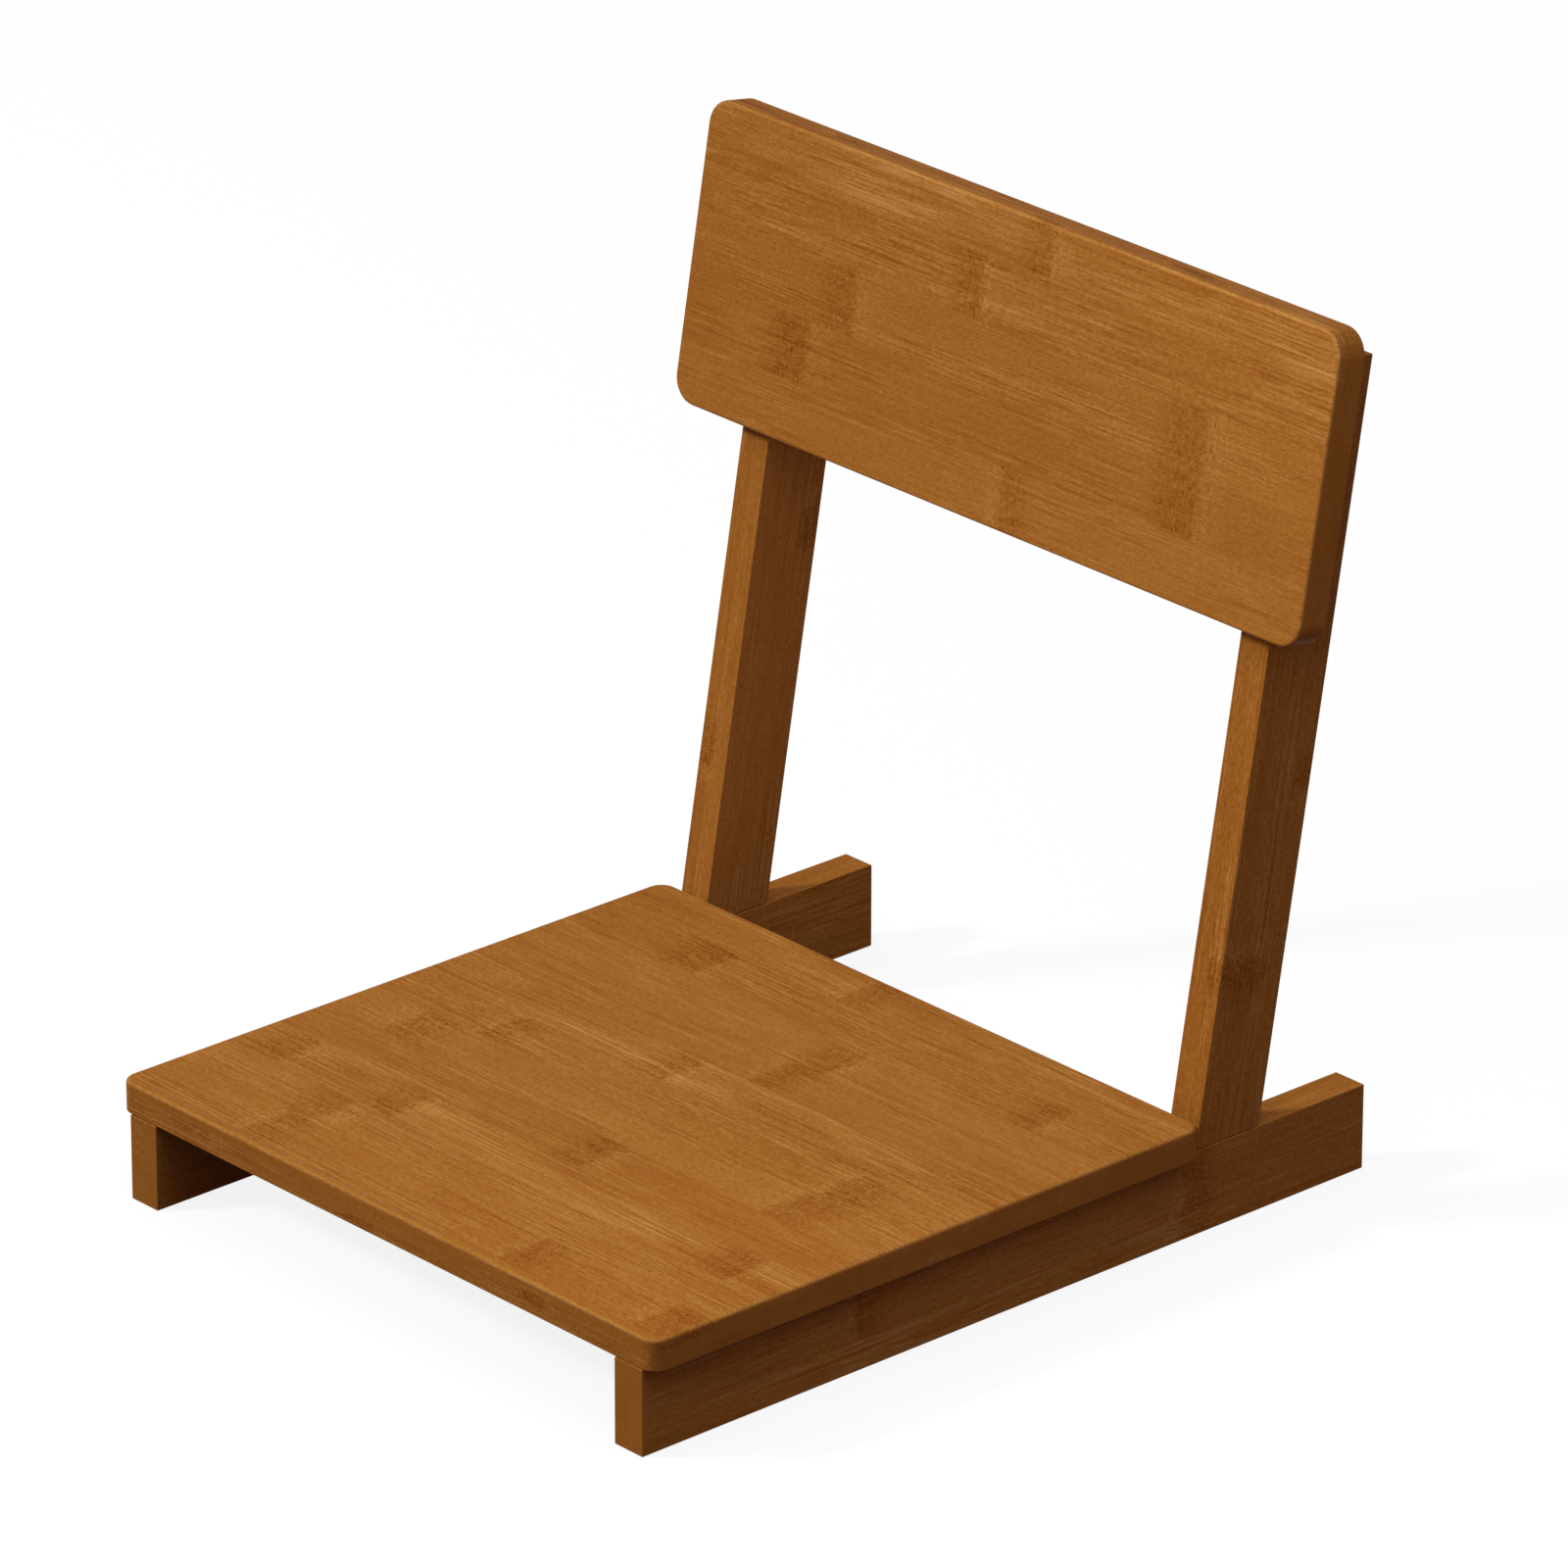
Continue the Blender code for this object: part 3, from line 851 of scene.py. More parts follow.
        grain = np.column_stack([points[:, self.along] - low[self.along],
                                 high[self.across] - points[:, self.across], depth(points)])
        rows = np.searchsorted(self.seams, high[self.across] - centres[:, self.across])
        layers = np.clip((depth(centres) / self.ply).astype(int), 0, self.layup["plies"] - 1)
        limits = [0.0, *self.seams, high[self.across] - low[self.across]]
        cells = {(row, layer): (self.draw.random(), self.draw.random())
                 for layer in range(self.layup["plies"]) for row in range(len(limits) - 1)}
        strips = []
        knuckles = []
        tones = []
        for row, layer in zip(rows, layers):
            seed, tone = cells[row, layer]
            strips.append((seed, (limits[row] + limits[row + 1]) / 2, (limits[row + 1] - limits[row]) / 2))
            knuckles.append(self.strip_knuckles(row, layer))
            tones.append(tone)
        # First column: eased edges, which the finish lightens partly as wear and partly as a painted
        # highlight
        surface = np.column_stack([self.edge_wear_and_highlight(centres, normals),
                                   np.abs(normals[:, self.along]) > math.cos(SMOOTH_ANGLE), tones])
        for name, domain, values in (("grain", "POINT", grain), ("strip", "FACE", strips),
                                     ("knuckles", "FACE", knuckles), ("surface", "FACE", surface)):
            attribute = mesh.attributes.new(name, "FLOAT_VECTOR", domain)
            attribute.data.foreach_set("vector", np.array(values, np.float32).ravel())

    def edge_wear_and_highlight(self, centres, normals):
        """1 in the middle of an eased edge and 0 on flat faces. The finish lightens these edges partly as
        wear and partly as a painted highlight.
        """
        if self.is_board:
            facing = normals[:, self.through] ** 2
            return 4.0 * facing * (1.0 - facing)
        inset = np.minimum(centres - np.array(self.low), np.array(self.high) - centres)
        second = np.sort(inset, axis=1)[:, 1]
        return np.clip(1.0 - second / self.edge_radius, 0.0, 1.0)

    def finish(self, name, material):
        """Turn the piece to its place and show it, with faces that shade flat up to their eased edges."""
        self.mesh.transform(self.turn.to_4x4())
        self.mesh.shade_smooth()
        self.mesh.set_sharp_from_angle(angle=SMOOTH_ANGLE)
        blank = add_object("blank", self.mesh)
        weighted = blank.modifiers.new("flat_faces", "WEIGHTED_NORMAL")
        weighted.keep_sharp = True
        add_piece(finished_mesh(blank, name), material, [self.node])


def make_board(board, corner_radius, layup, sets, name, settings):
    """Make a board, with pockets for its sets' inserts in its hidden side."""
    sizes = settings.wood_sizes
    board.shape(sizes.board_edge, corner_radius, sizes.under_edge)
    board.split_strips(layup)
    board.cut([insert_pocket(set_name) for set_name in sets])
    board.lay_grain()
    board.finish(name, bamboo(settings))


# Hardware, grown on points by node trees

TURN = 2.0 * math.pi
SHANK_SIDES = 20
SHANK_RINGS = 6.0  # in a pitch of the thread
SHANK_ROOT = -0.25  # where the shank starts inside the head, in heads
SCREW_POINT = 6  # a screw's diameter is so many times its point's radius
HEAD_SIDES = 48
HEAD_RINGS = 8
KNURLS = 24.0
KNURL_START = (0.10, 0.20)  # up the head from its underside, in heads
KNURL_END = (0.90, 0.80)
FACE_START = (0.90, 1.0)
SOCKET_SIDES = 6
SOCKET_MOUTH = -1.5  # how far out the socket's cutter reaches, in heads
WASHER_SIDES = 48
RIM_SEGMENTS = 3
RIM_PART = 5  # a washer's thickness is so many times its rim's radius
INSERT_SIDES = 28
INSERT_RINGS = 7.0
INSERT_LEAD = 0.4  # where an insert's thread starts, in pitches
BORE_SIDES = 32
BORE_REACH = (-0.5, 1.5)  # ends of the bore's cutter, in lengths of the insert
SLOT_REACH = 4.0  # length of the slot's cutter, in radii of the insert
DOWEL_SIDES = 72
DOWEL_RINGS = 50
FLUTES = 18.0


class Hardware(Nodes):
    """A tree that puts one kind of hardware on points, turned along each point's axis."""

    def __init__(self, name, sizes):
        tree = bpy.data.node_groups.new(name, "GeometryNodeTree")
        tree.interface.new_socket("Points", in_out="INPUT", socket_type="NodeSocketGeometry")
        for size in sizes:
            tree.interface.new_socket(size, in_out="INPUT", socket_type="NodeSocketFloat")
        tree.interface.new_socket("Seed", in_out="INPUT", socket_type="NodeSocketInt")
        tree.interface.new_socket("Material", in_out="INPUT", socket_type="NodeSocketMaterial")
        tree.interface.new_socket("Geometry", in_out="OUTPUT", socket_type="NodeSocketGeometry")
        super().__init__(tree)
        self.given = self.add("NodeGroupInput").outputs

    def cylinder(self, sides, rings, radius, low, high):
        """A closed cylinder about Z from one height to another."""
        inputs = {"Vertices": sides, "Side Segments": rings, "Radius": radius, "Depth": self.minus(high, low)}
        shape = self.add("GeometryNodeMeshCylinder", inputs, fill_type="NGON").outputs["Mesh"]
        return self.move(shape, self.times(self.plus(low, high), 0.5))

    def move(self, shape, height):
        inputs = {"Geometry": shape, "Translation": self.join(z=height)}
        return self.add("GeometryNodeTransform", inputs).outputs[0]

    def polar(self):
        """Part of a turn round Z and height of each point."""
        x, y, z = self.split(self.add("GeometryNodeInputPosition").outputs[0])
        return self.over(self.math("ARCTAN2", y, x), TURN), z

    def ripple(self, turn, count):
        """Goes from 1 to 0 and back so often in a turn."""
        return self.times(self.plus(1.0, self.math("COSINE", self.times(turn, TURN * count))), 0.5)

    def swell(self, shape, factor):
        """Move each point away from Z, or towards it, by a factor."""
        place = self.add("GeometryNodeInputPosition").outputs[0]
        moved = self.vector("MULTIPLY", place, self.join(factor, factor, 1.0))
        return self.add("GeometryNodeSetPosition", {"Geometry": shape, "Position": moved}).outputs[0]

    def threaded(self, sides, rings_a_pitch, radius, low, high, thread_low, pitch, depth):
        """A rod with a sharp thread that starts at a height."""
        rings = self.times(self.over(self.minus(high, low), pitch), rings_a_pitch)
        rod = self.cylinder(sides, rings, radius, low, high)
        turn, height = self.polar()
        phase = self.math("FRACT", self.minus(self.over(height, pitch), turn))
        crest = self.math("ABSOLUTE", self.minus(self.times(phase, 2.0), 1.0))
        groove = self.times(self.minus(1.0, crest), depth)
        groove = self.times(groove, self.rise(height, thread_low, self.plus(thread_low, pitch)))
        return self.swell(rod, self.minus(1.0, self.over(groove, radius)))

    def combine(self, operation, first, second):
        node = self.add("GeometryNodeMeshBoolean", operation=operation, solver="EXACT")
        self.tree.links.new(first, node.inputs["Mesh 2" if operation == "UNION" else "Mesh 1"])
        self.tree.links.new(second, node.inputs["Mesh 2"])
        return node.outputs["Mesh"]

    def grow(self, shape):
        """Put the shape on each point, with its own turn about the point's axis, and end the tree."""
        axis = self.add("GeometryNodeInputNamedAttribute", {"Name": "axis"}, data_type="FLOAT_VECTOR")
        upright = self.add("FunctionNodeAlignRotationToVector", {"Vector": axis.outputs[0]}, axis="Z")
        chance = self.add("FunctionNodeRandomValue", {3: TURN, "Seed": self.given["Seed"]})
        spin = self.add("FunctionNodeAxisAngleToRotation", {"Angle": chance.outputs[1]})
        turned = self.add("FunctionNodeRotateRotation", {0: upright.outputs[0], 1: spin.outputs[0]},
                          rotation_space="LOCAL")
        inputs = {"Points": self.given["Points"], "Instance": shape, "Rotation": turned.outputs[0]}
        placed = self.add("GeometryNodeInstanceOnPoints", inputs)
        real = self.add("GeometryNodeRealizeInstances", {0: placed.outputs[0]})
        inputs = {"Geometry": real.outputs[0], "Material": self.given["Material"]}
        painted = self.add("GeometryNodeSetMaterial", inputs)
        self.add("NodeGroupOutput", {0: painted.outputs[0]})
        return self.tree


FASTENER_SIZES = ("Radius", "Length", "Plain Length", "Pitch", "Thread Depth", "Tip Radius", "Tip Length",
                  "Head Radius", "Head Height", "Knurl", "Socket Width", "Socket Depth", "Chamfer")


def fastener_tree():
    """Socket-headed bolt or screw that points up, with the underside of its head at zero."""
    nodes = Hardware("socket_headed_fastener", FASTENER_SIZES)
    given = nodes.given
    radius, long = given["Radius"], given["Length"]
    head, head_radius = given["Head Height"], given["Head Radius"]

    # Shank, which narrows to its tip
    shank = nodes.threaded(SHANK_SIDES, SHANK_RINGS, radius, nodes.times(head, SHANK_ROOT), long,
                           given["Plain Length"], given["Pitch"], given["Thread Depth"])
    height = nodes.polar()[1]
    to_tip = nodes.add("ShaderNodeMapRange", {
        "Value": height,
        "From Min": nodes.minus(long, given["Tip Length"]),
        "From Max": long,
        "To Min": 1.0,
        "To Max": nodes.over(given["Tip Radius"], radius),
    })
    shank = nodes.swell(shank, to_tip.outputs[0])

    # Head, knurled round its side and chamfered at its face
    barrel = nodes.cylinder(HEAD_SIDES, HEAD_RINGS, head_radius, nodes.times(head, -1.0), 0.0)
    turn, height = nodes.polar()
    share_up = nodes.over(height, nodes.times(head, -1.0))
    belt = nodes.times(nodes.rise(share_up, *KNURL_START), nodes.rise(share_up, *KNURL_END))
    face = nodes.rise(share_up, *FACE_START)
    inward = nodes.plus(nodes.times(nodes.ripple(turn, KNURLS), belt, given["Knurl"]),
                        nodes.times(face, given["Chamfer"]))
    barrel = nodes.swell(barrel, nodes.minus(1.0, nodes.over(inward, head_radius)))

    # Hexagon socket
    corner = nodes.times(given["Socket Width"], 0.5 / math.cos(math.pi / SOCKET_SIDES))
    floor = nodes.minus(given["Socket Depth"], head)
    socket = nodes.cylinder(SOCKET_SIDES, 1, corner, nodes.times(head, SOCKET_MOUTH), floor)
    body = nodes.combine("UNION", barrel, shank)
    return nodes.grow(nodes.combine("DIFFERENCE", body, socket))


def washer_tree():
    """Flat washer with softened rims, about the middle of its thickness."""
    nodes = Hardware("flat_washer", ("Outer Radius", "Inner Radius", "Thickness", "Rim Radius"))
    given = nodes.given
    outer, inner = given["Outer Radius"], given["Inner Radius"]
    path = nodes.add("GeometryNodeCurvePrimitiveCircle", {
        "Resolution": WASHER_SIDES,
        "Radius": nodes.times(nodes.plus(outer, inner), 0.5),
    })
    section = nodes.add("GeometryNodeCurvePrimitiveQuadrilateral", {
        "Width": nodes.minus(outer, inner),
        "Height": given["Thickness"],
    })
    soft = nodes.add("GeometryNodeFilletCurve", {
        "Curve": section.outputs[0],
        "Radius": given["Rim Radius"],
        "Count": RIM_SEGMENTS,
        "Limit Radius": True,
    }, mode="POLY")
    ring = nodes.add("GeometryNodeCurveToMesh", {"Curve": path.outputs[0], "Profile Curve": soft.outputs[0]})
    return nodes.grow(ring.outputs[0])


def insert_tree():
    """Threaded insert that stands on zero, with a bore and a driving slot in its lower end."""
    nodes = Hardware("threaded_insert", ("Radius", "Length", "Bore Radius", "Pitch", "Thread Depth",
                                         "Slot Width", "Slot Depth"))
    given = nodes.given
    radius, long = given["Radius"], given["Length"]
    shell = nodes.threaded(INSERT_SIDES, INSERT_RINGS, radius, 0.0, long,
                           nodes.times(given["Pitch"], INSERT_LEAD), given["Pitch"], given["Thread Depth"])
    bore = nodes.cylinder(BORE_SIDES, 1, given["Bore Radius"], nodes.times(long, BORE_REACH[0]),
                          nodes.times(long, BORE_REACH[1]))
    slot = nodes.add("GeometryNodeMeshCube", {
        "Size": nodes.join(nodes.times(radius, SLOT_REACH), given["Slot Width"],
                           nodes.times(given["Slot Depth"], 2.0)),
    })
    ring = nodes.combine("DIFFERENCE", shell, bore)
    return nodes.grow(nodes.combine("DIFFERENCE", ring, slot.outputs["Mesh"]))


def dowel_tree():
    """Fluted dowel about the middle of its length, with chamfered ends."""
    nodes = Hardware("fluted_dowel", ("Radius", "Length", "Flute", "Chamfer"))
    given = nodes.given
    radius = given["Radius"]
    half = nodes.times(given["Length"], 0.5)
    peg = nodes.cylinder(DOWEL_SIDES, DOWEL_RINGS, radius, nodes.times(half, -1.0), half)
    turn, height = nodes.polar()
    to_end = nodes.minus(half, nodes.math("ABSOLUTE", height))
    taper = nodes.minus(given["Chamfer"], nodes.math("MINIMUM", to_end, given["Chamfer"]))
    inward = nodes.plus(nodes.times(nodes.ripple(turn, FLUTES), given["Flute"]), taper)
    return nodes.grow(nodes.swell(peg, nodes.minus(1.0, nodes.over(inward, radius))))


def fastener_sizes(sizes, node, axis, pitch, thread, tip_radius, tip_length):
    """What the tree of a bolt or a screw is given."""
    low, high = reach(node, axis)
    return {
        "Radius": sizes.bolt / 2,
        "Length": high - low - sizes.head_height,
        "Plain Length": sizes.plain_shank,
        "Pitch": pitch,
        "Thread Depth": thread,
        "Tip Radius": tip_radius,
        "Tip Length": tip_length,
        "Head Radius": radius_of(node),
        "Head Height": sizes.head_height,
        "Knurl": sizes.knurl,
        "Socket Width": sizes.socket_width,
        "Socket Depth": sizes.socket_depth,
        "Chamfer": sizes.chamfer / 2,
    }


def grow_piece(name, nodes, tree, places, axes, sizes, material, seed):
    """Run a hardware tree on points, and show the plain mesh that it makes for its CAD nodes."""
    points = bpy.data.meshes.new(name + "_points")
    points.from_pydata(places, [], [])
    attribute = points.attributes.new("axis", "FLOAT_VECTOR", "POINT")
    attribute.data.foreach_set("vector", np.array(axes, np.float32).ravel())
    blank = add_object(name + "_points", points)
    modifier = blank.modifiers.new(tree.name, "NODES")
    modifier.node_group = tree
    given = {**sizes, "Seed": seed, "Material": material}
    for socket in tree.interface.items_tree:
        if socket.in_out == "INPUT" and socket.name in given:
            modifier[socket.identifier] = given[socket.name]
    mesh = finished_mesh(blank, name)
    form = bmesh.new()
    form.from_mesh(mesh)
    bmesh.ops.remove_doubles(form, verts=form.verts, dist=WELD_DISTANCE)
    bmesh.ops.recalc_face_normals(form, faces=form.faces)
    form.to_mesh(mesh)
    form.free()
    mesh.shade_smooth()
    mesh.set_sharp_from_angle(angle=SMOOTH_ANGLE)
    add_piece(mesh, material, nodes)


# Floor, light and camera

FLOOR_SIZE = 30.0
FLOOR_LIGHT = 0.8  # least light on the open floor, where it is still white
BACKDROP_FADE = math.sin(math.radians(2.0))  # up to here reflections show the white backdrop,
BACKDROP_TOP = math.sin(math.radians(7.0))  # and from here on the ceiling
KEY_PLACE = Vector((-1.97, -2.80, 2.65))
FILL_PLACE = Vector((0.32, -0.24, 0.66))
FILL_AIM = Vector((0.10, 0.15, 0.30))
AIM = Vector((0.0, 0.0, 0.200))
AIM_RIGHT = 0.01707  # how far the picture's middle lies from the aim
AIM_UP = 0.01531
SENSOR_WIDTH = 36.0
LENS = 259.88


def seen_rays(nodes):
    """Two switches: on for the camera's own rays, and on for those and for mirrored and passed-on ones."""
    path = nodes.add("ShaderNodeLightPath").outputs
    camera = path["Is Camera Ray"]
    mirrored = nodes.math("MAXIMUM", path["Is Glossy Ray"], path["Is Transmission Ray"])
    return camera, nodes.math("MAXIMUM", camera, mirrored)


def make_floor(stage):
    """White floor that keeps the chair's shadow, and that can be looked through from below."""
    form = bmesh.new()
    bmesh.ops.create_grid(form, x_segments=1, y_segments=1, size=FLOOR_SIZE / 2)
    floor = add_object("floor", mesh_from(form, "floor"))
    floor.location.z = CAD_BOX[0].z - FIT_GAP
    material = bpy.data.materials.new("white_floor")
    material.use_nodes = True
    material.node_tree.nodes.clear()
    nodes = Nodes(material.node_tree)
    lit = nodes.add("ShaderNodeBsdfDiffuse", {"Color": (stage.floor,) * 3 + (1.0,)})
    glow = nodes.add("ShaderNodeEmission", {"Strength": 1.0 - stage.floor * FLOOR_LIGHT})
    white = nodes.add("ShaderNodeAddShader", {0: lit.outputs[0], 1: glow.outputs[0]})
    dim = nodes.add("ShaderNodeBsdfDiffuse", {"Color": (stage.bounce,) * 3 + (1.0,)})
    top = nodes.add("ShaderNodeMixShader", {0: seen_rays(nodes)[1], 1: dim.outputs[0], 2: white.outputs[0]})
    clear = nodes.add("ShaderNodeBsdfTransparent")
    below = nodes.add("ShaderNodeNewGeometry").outputs["Backfacing"]
    either = nodes.add("ShaderNodeMixShader", {0: below, 1: top.outputs[0], 2: clear.outputs[0]})
    nodes.add("ShaderNodeOutputMaterial", {"Surface": either.outputs[0]})
    floor.data.materials.append(material)


def make_world(stage):
    """White to look at, with a dim ceiling in reflections and a soft light from overhead on the chair."""
    world = bpy.data.worlds.new("studio")
    world.use_nodes = True
    world.node_tree.nodes.clear()
    nodes = Nodes(world.node_tree)
    height = nodes.split(nodes.add("ShaderNodeTexCoord").outputs["Generated"])[Z]
    camera, seen = seen_rays(nodes)
    mirrored = nodes.spread(nodes.rise(height, BACKDROP_TOP, BACKDROP_FADE), stage.ceiling, 1.0)
    brightness = nodes.math("MAXIMUM", camera, mirrored)
    backdrop = nodes.add("ShaderNodeBackground", {"Color": (*WHITE, 1.0), "Strength": brightness})
    tint = nodes.ramp(height, [(0.0, stage.horizon), (1.0, WHITE)])
    light = nodes.add("ShaderNodeBackground", {"Color": tint, "Strength": stage.ambient})
    air = nodes.add("ShaderNodeMixShader", {0: seen, 1: light.outputs[0], 2: backdrop.outputs[0]})
    nodes.add("ShaderNodeOutputWorld", {"Surface": air.outputs[0]})
    bpy.context.scene.world = world


def make_lamp(name, place, aim, light, size):
    """One soft lamp that gives so much light to a surface that faces it where it aims, unseen itself."""
    towards = place - aim
    lamp = bpy.data.lights.new(name, "AREA")
    lamp.shape = "DISK"
    lamp.size = size
    lamp.energy = light * (math.pi * towards.length) ** 2
    holder = add_object(name, lamp)
    holder.location = place
    holder.rotation_euler = towards.to_track_quat("Z", "Y").to_euler()
    holder.visible_camera = False


def make_camera(stage):
    """Long lens, at the picture's own angle."""
    ahead = Vector((-math.sin(stage.turn) * math.cos(stage.tilt), math.cos(stage.turn) * math.cos(stage.tilt),
                    -math.sin(stage.tilt)))
    level_right = ahead.cross(UP).normalized()
    level_up = level_right.cross(ahead)
    right = level_right * math.cos(stage.roll) + level_up * math.sin(stage.roll)
    up = level_up * math.cos(stage.roll) - level_right * math.sin(stage.roll)
    aim = AIM + right * AIM_RIGHT + up * AIM_UP
    camera = add_object("camera", bpy.data.cameras.new("camera"))
    camera.data.sensor_width = SENSOR_WIDTH
    camera.data.lens = LENS
    camera.data.clip_end = FLOOR_SIZE
    camera.rotation_euler = Matrix((right, up, -ahead)).transposed().to_euler()
    camera.location = aim - ahead * stage.distance
    bpy.context.scene.camera = camera


# Operators

class FLOORCHAIR_OT_make_seat(bpy.types.Operator):
    """Make the seat board, with the inserts' pockets in its underside"""

    bl_idname = "floor_chair.make_seat"
    bl_label = "Seat Board"
    bl_options = {"REGISTER", "UNDO"}

    def execute(self, context):
        settings = context.scene.floor_chair
        board = WoodPiece("seat_board", LEVEL, (X, Y, Z), outer_high=True, seed=11)
        make_board(board, settings.wood_sizes.seat_corner, SEAT_LAYUP, SEAT_SETS, "bamboo_seat", settings)
        return {"FINISHED"}


class FLOORCHAIR_OT_make_backrest(bpy.types.Operator):
    """Make the backrest board, with the inserts' pockets in its back"""

    bl_idname = "floor_chair.make_backrest"
    bl_label = "Backrest Board"
    bl_options = {"REGISTER", "UNDO"}

    def execute(self, context):
        settings = context.scene.floor_chair
        board = WoodPiece("backrest_board", LEANING, (X, Z, Y), outer_high=False, seed=23)
        make_board(board, settings.wood_sizes.back_corner, BACK_LAYUP, BACK_SETS, "bamboo_backrest", settings)
        return {"FINISHED"}


class FLOORCHAIR_OT_make_runners(bpy.types.Operator):
    """Make the two runners, drilled for the seat's bolts and the uprights' feet"""

    bl_idname = "floor_chair.make_runners"
    bl_label = "Runners"
    bl_options = {"REGISTER", "UNDO"}

    def execute(self, context):
        settings = context.scene.floor_chair
        for number, side in enumerate(SIDES):
            node = side + "_runner"
            runner = WoodPiece(node, LEVEL, (Y, Z, X), outer_high=side == "right", seed=31 + number)
            runner.shape(settings.wood_sizes.bar_edge)
            runner.split_strips(RUNNER_LAYUP)
            runner.cut(bar_cuts(side, node, SEAT_SETS, settings))
            runner.lay_grain()
            runner.finish("bamboo_runner_" + side, bamboo(settings))
        return {"FINISHED"}


class FLOORCHAIR_OT_make_uprights(bpy.types.Operator):
    """Make the two uprights, with level feet, drilled for the backrest's bolts and their own joints"""

    bl_idname = "floor_chair.make_uprights"
    bl_label = "Uprights"
    bl_options = {"REGISTER", "UNDO"}

    def execute(self, context):
        settings = context.scene.floor_chair
        for number, side in enumerate(SIDES):
            node = side + "_upright"
            upright = WoodPiece(node, LEANING, (Z, Y, X), outer_high=side == "right", seed=43 + number)
            upright.shape(settings.wood_sizes.bar_edge, spare_foot=2 * CUT_MARGIN)
            upright.split_strips(UPRIGHT_LAYUP)
            low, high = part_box(node)
            margin = Vector((CUT_MARGIN, CUT_MARGIN, 0.0))
            foot = low.z - FIT_GAP + settings.wood_sizes.foot_joint
            block = box_form(Vector((low.x, low.y, 0.0)) - margin, Vector((high.x, high.y, foot)) + margin)
            upright.cut([mesh_from(block, "foot_trim"), *bar_cuts(side, node, BACK_SETS, settings)])
            upright.lay_grain()
            upright.finish("bamboo_upright_" + side, bamboo(settings))
        return {"FINISHED"}


class FLOORCHAIR_OT_make_bolts(bpy.types.Operator):
    """Make the seat's and the backrest's bolts"""

    bl_idname = "floor_chair.make_bolts"
    bl_label = "Bolts"
    bl_options = {"REGISTER", "UNDO"}

    def execute(self, context):
        settings = context.scene.floor_chair
        sizes = settings.hardware_sizes
        tree = fastener_tree()
        for label, sets in SETS.items():
            nodes = [name + "_bolt" for name in sets]
            axes = [set_axis(name) for name in sets]
            places = [on_axis(name + "_washer", axis, reach(name + "_bolt", axis)[0] + sizes.head_height)
                      for name, axis in zip(sets, axes)]
            given = fastener_sizes(sizes, nodes[0], axes[0], sizes.bolt_pitch, sizes.bolt_thread,
                                   sizes.bolt / 2 - sizes.chamfer, sizes.chamfer)
            grow_piece(label + "_bolts", nodes, tree, places, axes, given, zinc(settings),
                       seed=5)
        return {"FINISHED"}


class FLOORCHAIR_OT_make_screws(bpy.types.Operator):
    """Make the screws that hold the uprights' feet"""

    bl_idname = "floor_chair.make_screws"
    bl_label = "Upright Screws"
    bl_options = {"REGISTER", "UNDO"}

    def execute(self, context):
        settings = context.scene.floor_chair
        sizes = settings.hardware_sizes
        low = reach(SCREWS[0], UP)[0]
        places = [on_axis(node, UP, low + sizes.head_height) for node in SCREWS]
        given = fastener_sizes(sizes, SCREWS[0], UP, sizes.screw_pitch, sizes.screw_thread,
                               sizes.bolt / SCREW_POINT, sizes.screw_tip)
        grow_piece("upright_screws", SCREWS, fastener_tree(), places, [UP] * len(SCREWS), given,
                   zinc(settings), seed=6)
        return {"FINISHED"}


class FLOORCHAIR_OT_make_washers(bpy.types.Operator):
    """Make the washers under the bolts' heads"""

    bl_idname = "floor_chair.make_washers"
    bl_label = "Washers"
    bl_options = {"REGISTER", "UNDO"}

    def execute(self, context):
        settings = context.scene.floor_chair
        tree = washer_tree()
        for label, sets in SETS.items():
            nodes = [name + "_washer" for name in sets]
            axes = [set_axis(name) for name in sets]
            low, high = reach(nodes[0], axes[0])
            given = {
                "Outer Radius": radius_of(nodes[0]),
                "Inner Radius": bolt_hole(settings),
                "Thickness": high - low,
                "Rim Radius": (high - low) / RIM_PART,
            }
            places = [middle(node) for node in nodes]
            grow_piece(label + "_washers", nodes, tree, places, axes, given, zinc(settings),
                       seed=7)
        return {"FINISHED"}


class FLOORCHAIR_OT_make_inserts(bpy.types.Operator):
    """Make the threaded inserts in the boards"""

    bl_idname = "floor_chair.make_inserts"
    bl_label = "Threaded Inserts"
    bl_options = {"REGISTER", "UNDO"}

    def execute(self, context):
        settings = context.scene.floor_chair
        sizes = settings.hardware_sizes
        tree = insert_tree()
        for label, sets in SETS.items():
            nodes = [name + "_insert" for name in sets]
            axes = [set_axis(name) for name in sets]
            low, high = reach(nodes[0], axes[0])
            places = [on_axis(node, axis, reach(node, axis)[0]) for node, axis in zip(nodes, axes)]
            given = {
                "Radius": radius_of(nodes[0]),
                "Length": high - low,
                "Bore Radius": bolt_hole(settings),
                "Pitch": sizes.insert_pitch,
                "Thread Depth": sizes.insert_thread,
                "Slot Width": sizes.insert_slot,
                "Slot Depth": sizes.insert_slot,
            }
            grow_piece(label + "_inserts", nodes, tree, places, axes, given, brass(settings),
                       seed=8)
        return {"FINISHED"}


class FLOORCHAIR_OT_make_dowels(bpy.types.Operator):
    """Make the dowels in the uprights' feet"""

    bl_idname = "floor_chair.make_dowels"
    bl_label = "Dowels"
    bl_options = {"REGISTER", "UNDO"}

    def execute(self, context):
        settings = context.scene.floor_chair
        sizes = settings.hardware_sizes
        low, high = reach(DOWELS[0], UP)
        given = {
            "Radius": radius_of(DOWELS[0]),
            "Length": high - low,
            "Flute": sizes.flute,
            "Chamfer": sizes.chamfer,
        }
        places = [middle(node) for node in DOWELS]
        grow_piece("dowels", DOWELS, dowel_tree(), places, [UP] * len(DOWELS), given, raw_bamboo(settings),
                   seed=9)
        return {"FINISHED"}


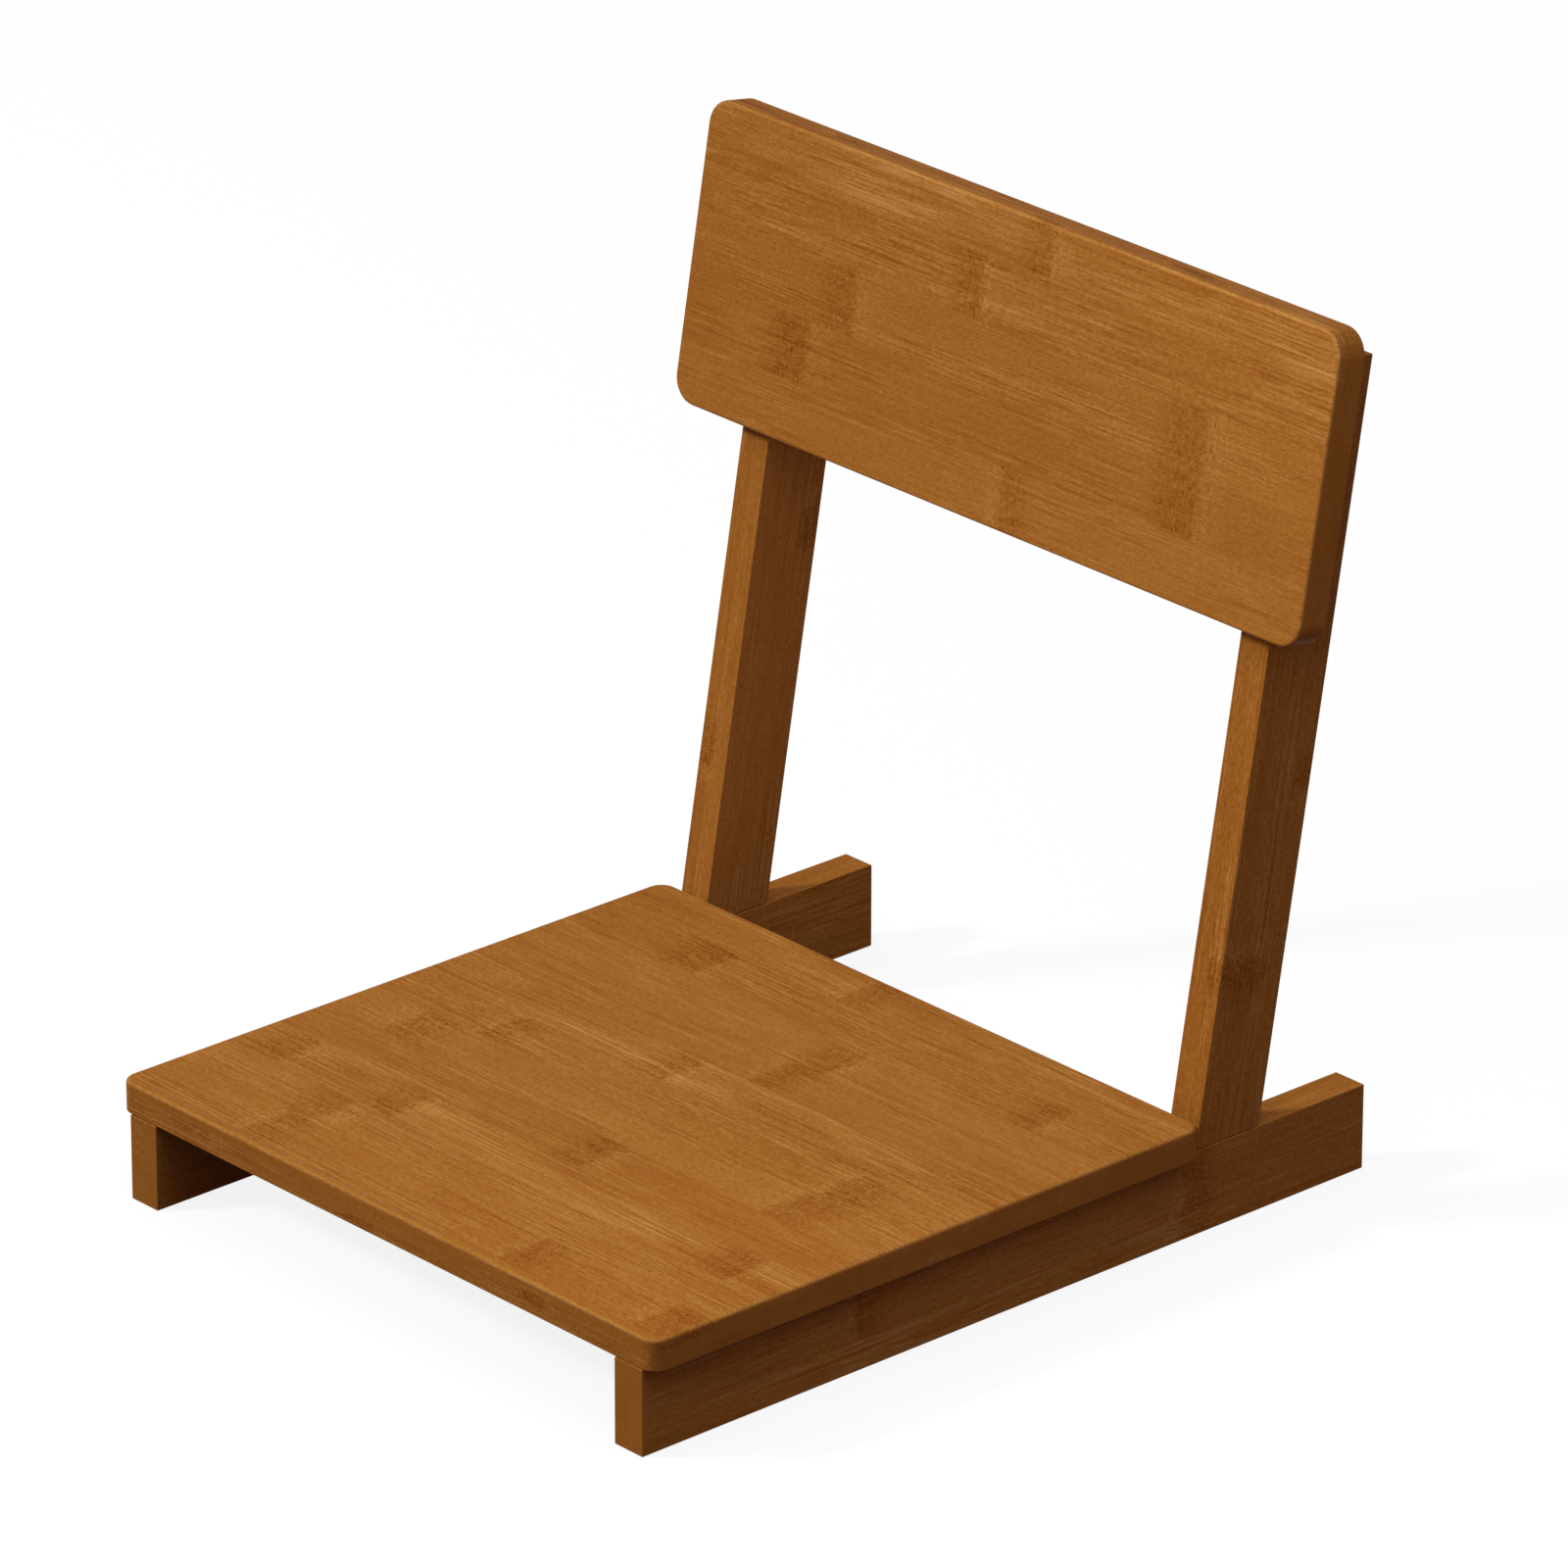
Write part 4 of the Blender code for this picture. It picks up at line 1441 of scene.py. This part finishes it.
class FLOORCHAIR_OT_make_stage(bpy.types.Operator):
    """Make the floor, the light and the camera"""

    bl_idname = "floor_chair.make_stage"
    bl_label = "Stage"
    bl_options = {"REGISTER", "UNDO"}

    def execute(self, context):
        stage = context.scene.floor_chair.stage
        make_floor(stage)
        make_world(stage)
        make_lamp("key_light", KEY_PLACE, AIM, stage.key, stage.lamp_size)
        make_lamp("fill_light", FILL_PLACE, FILL_AIM, stage.fill, stage.lamp_size)
        make_camera(stage)
        context.scene.view_settings.view_transform = "Standard"
        return {"FINISHED"}


# Panel and registration

OPERATORS = (
    FLOORCHAIR_OT_make_seat,
    FLOORCHAIR_OT_make_backrest,
    FLOORCHAIR_OT_make_runners,
    FLOORCHAIR_OT_make_uprights,
    FLOORCHAIR_OT_make_bolts,
    FLOORCHAIR_OT_make_screws,
    FLOORCHAIR_OT_make_washers,
    FLOORCHAIR_OT_make_inserts,
    FLOORCHAIR_OT_make_dowels,
    FLOORCHAIR_OT_make_stage,
)
SETTING_GROUPS = ("wood_sizes", "wood_look", "hardware_sizes", "hardware_look", "stage")


class FLOORCHAIR_PT_panel(bpy.types.Panel):
    """Lists the chair's operators and settings in the sidebar"""

    bl_idname = "FLOORCHAIR_PT_panel"
    bl_label = "Floor Chair"
    bl_space_type = "VIEW_3D"
    bl_region_type = "UI"
    bl_category = "Floor Chair"

    def draw(self, context):
        settings = context.scene.floor_chair
        for operator in OPERATORS:
            self.layout.operator(operator.bl_idname)
        for group_name in SETTING_GROUPS:
            box = self.layout.box()
            group = getattr(settings, group_name)
            for name in group.__annotations__:
                box.prop(group, name)


CLASSES = (WoodSizes, WoodLook, HardwareSizes, HardwareLook, StageLook, ChairSettings, *OPERATORS,
           FLOORCHAIR_PT_panel)


def register():
    for cls in CLASSES:
        bpy.utils.register_class(cls)
    bpy.types.Scene.floor_chair = PointerProperty(type=ChairSettings)


def unregister():
    del bpy.types.Scene.floor_chair
    for cls in reversed(CLASSES):
        bpy.utils.unregister_class(cls)


def main():
    register()
    for operator in OPERATORS:
        group, name = operator.bl_idname.split(".")
        getattr(getattr(bpy.ops, group), name)()


if __name__ == "__main__":
    main()
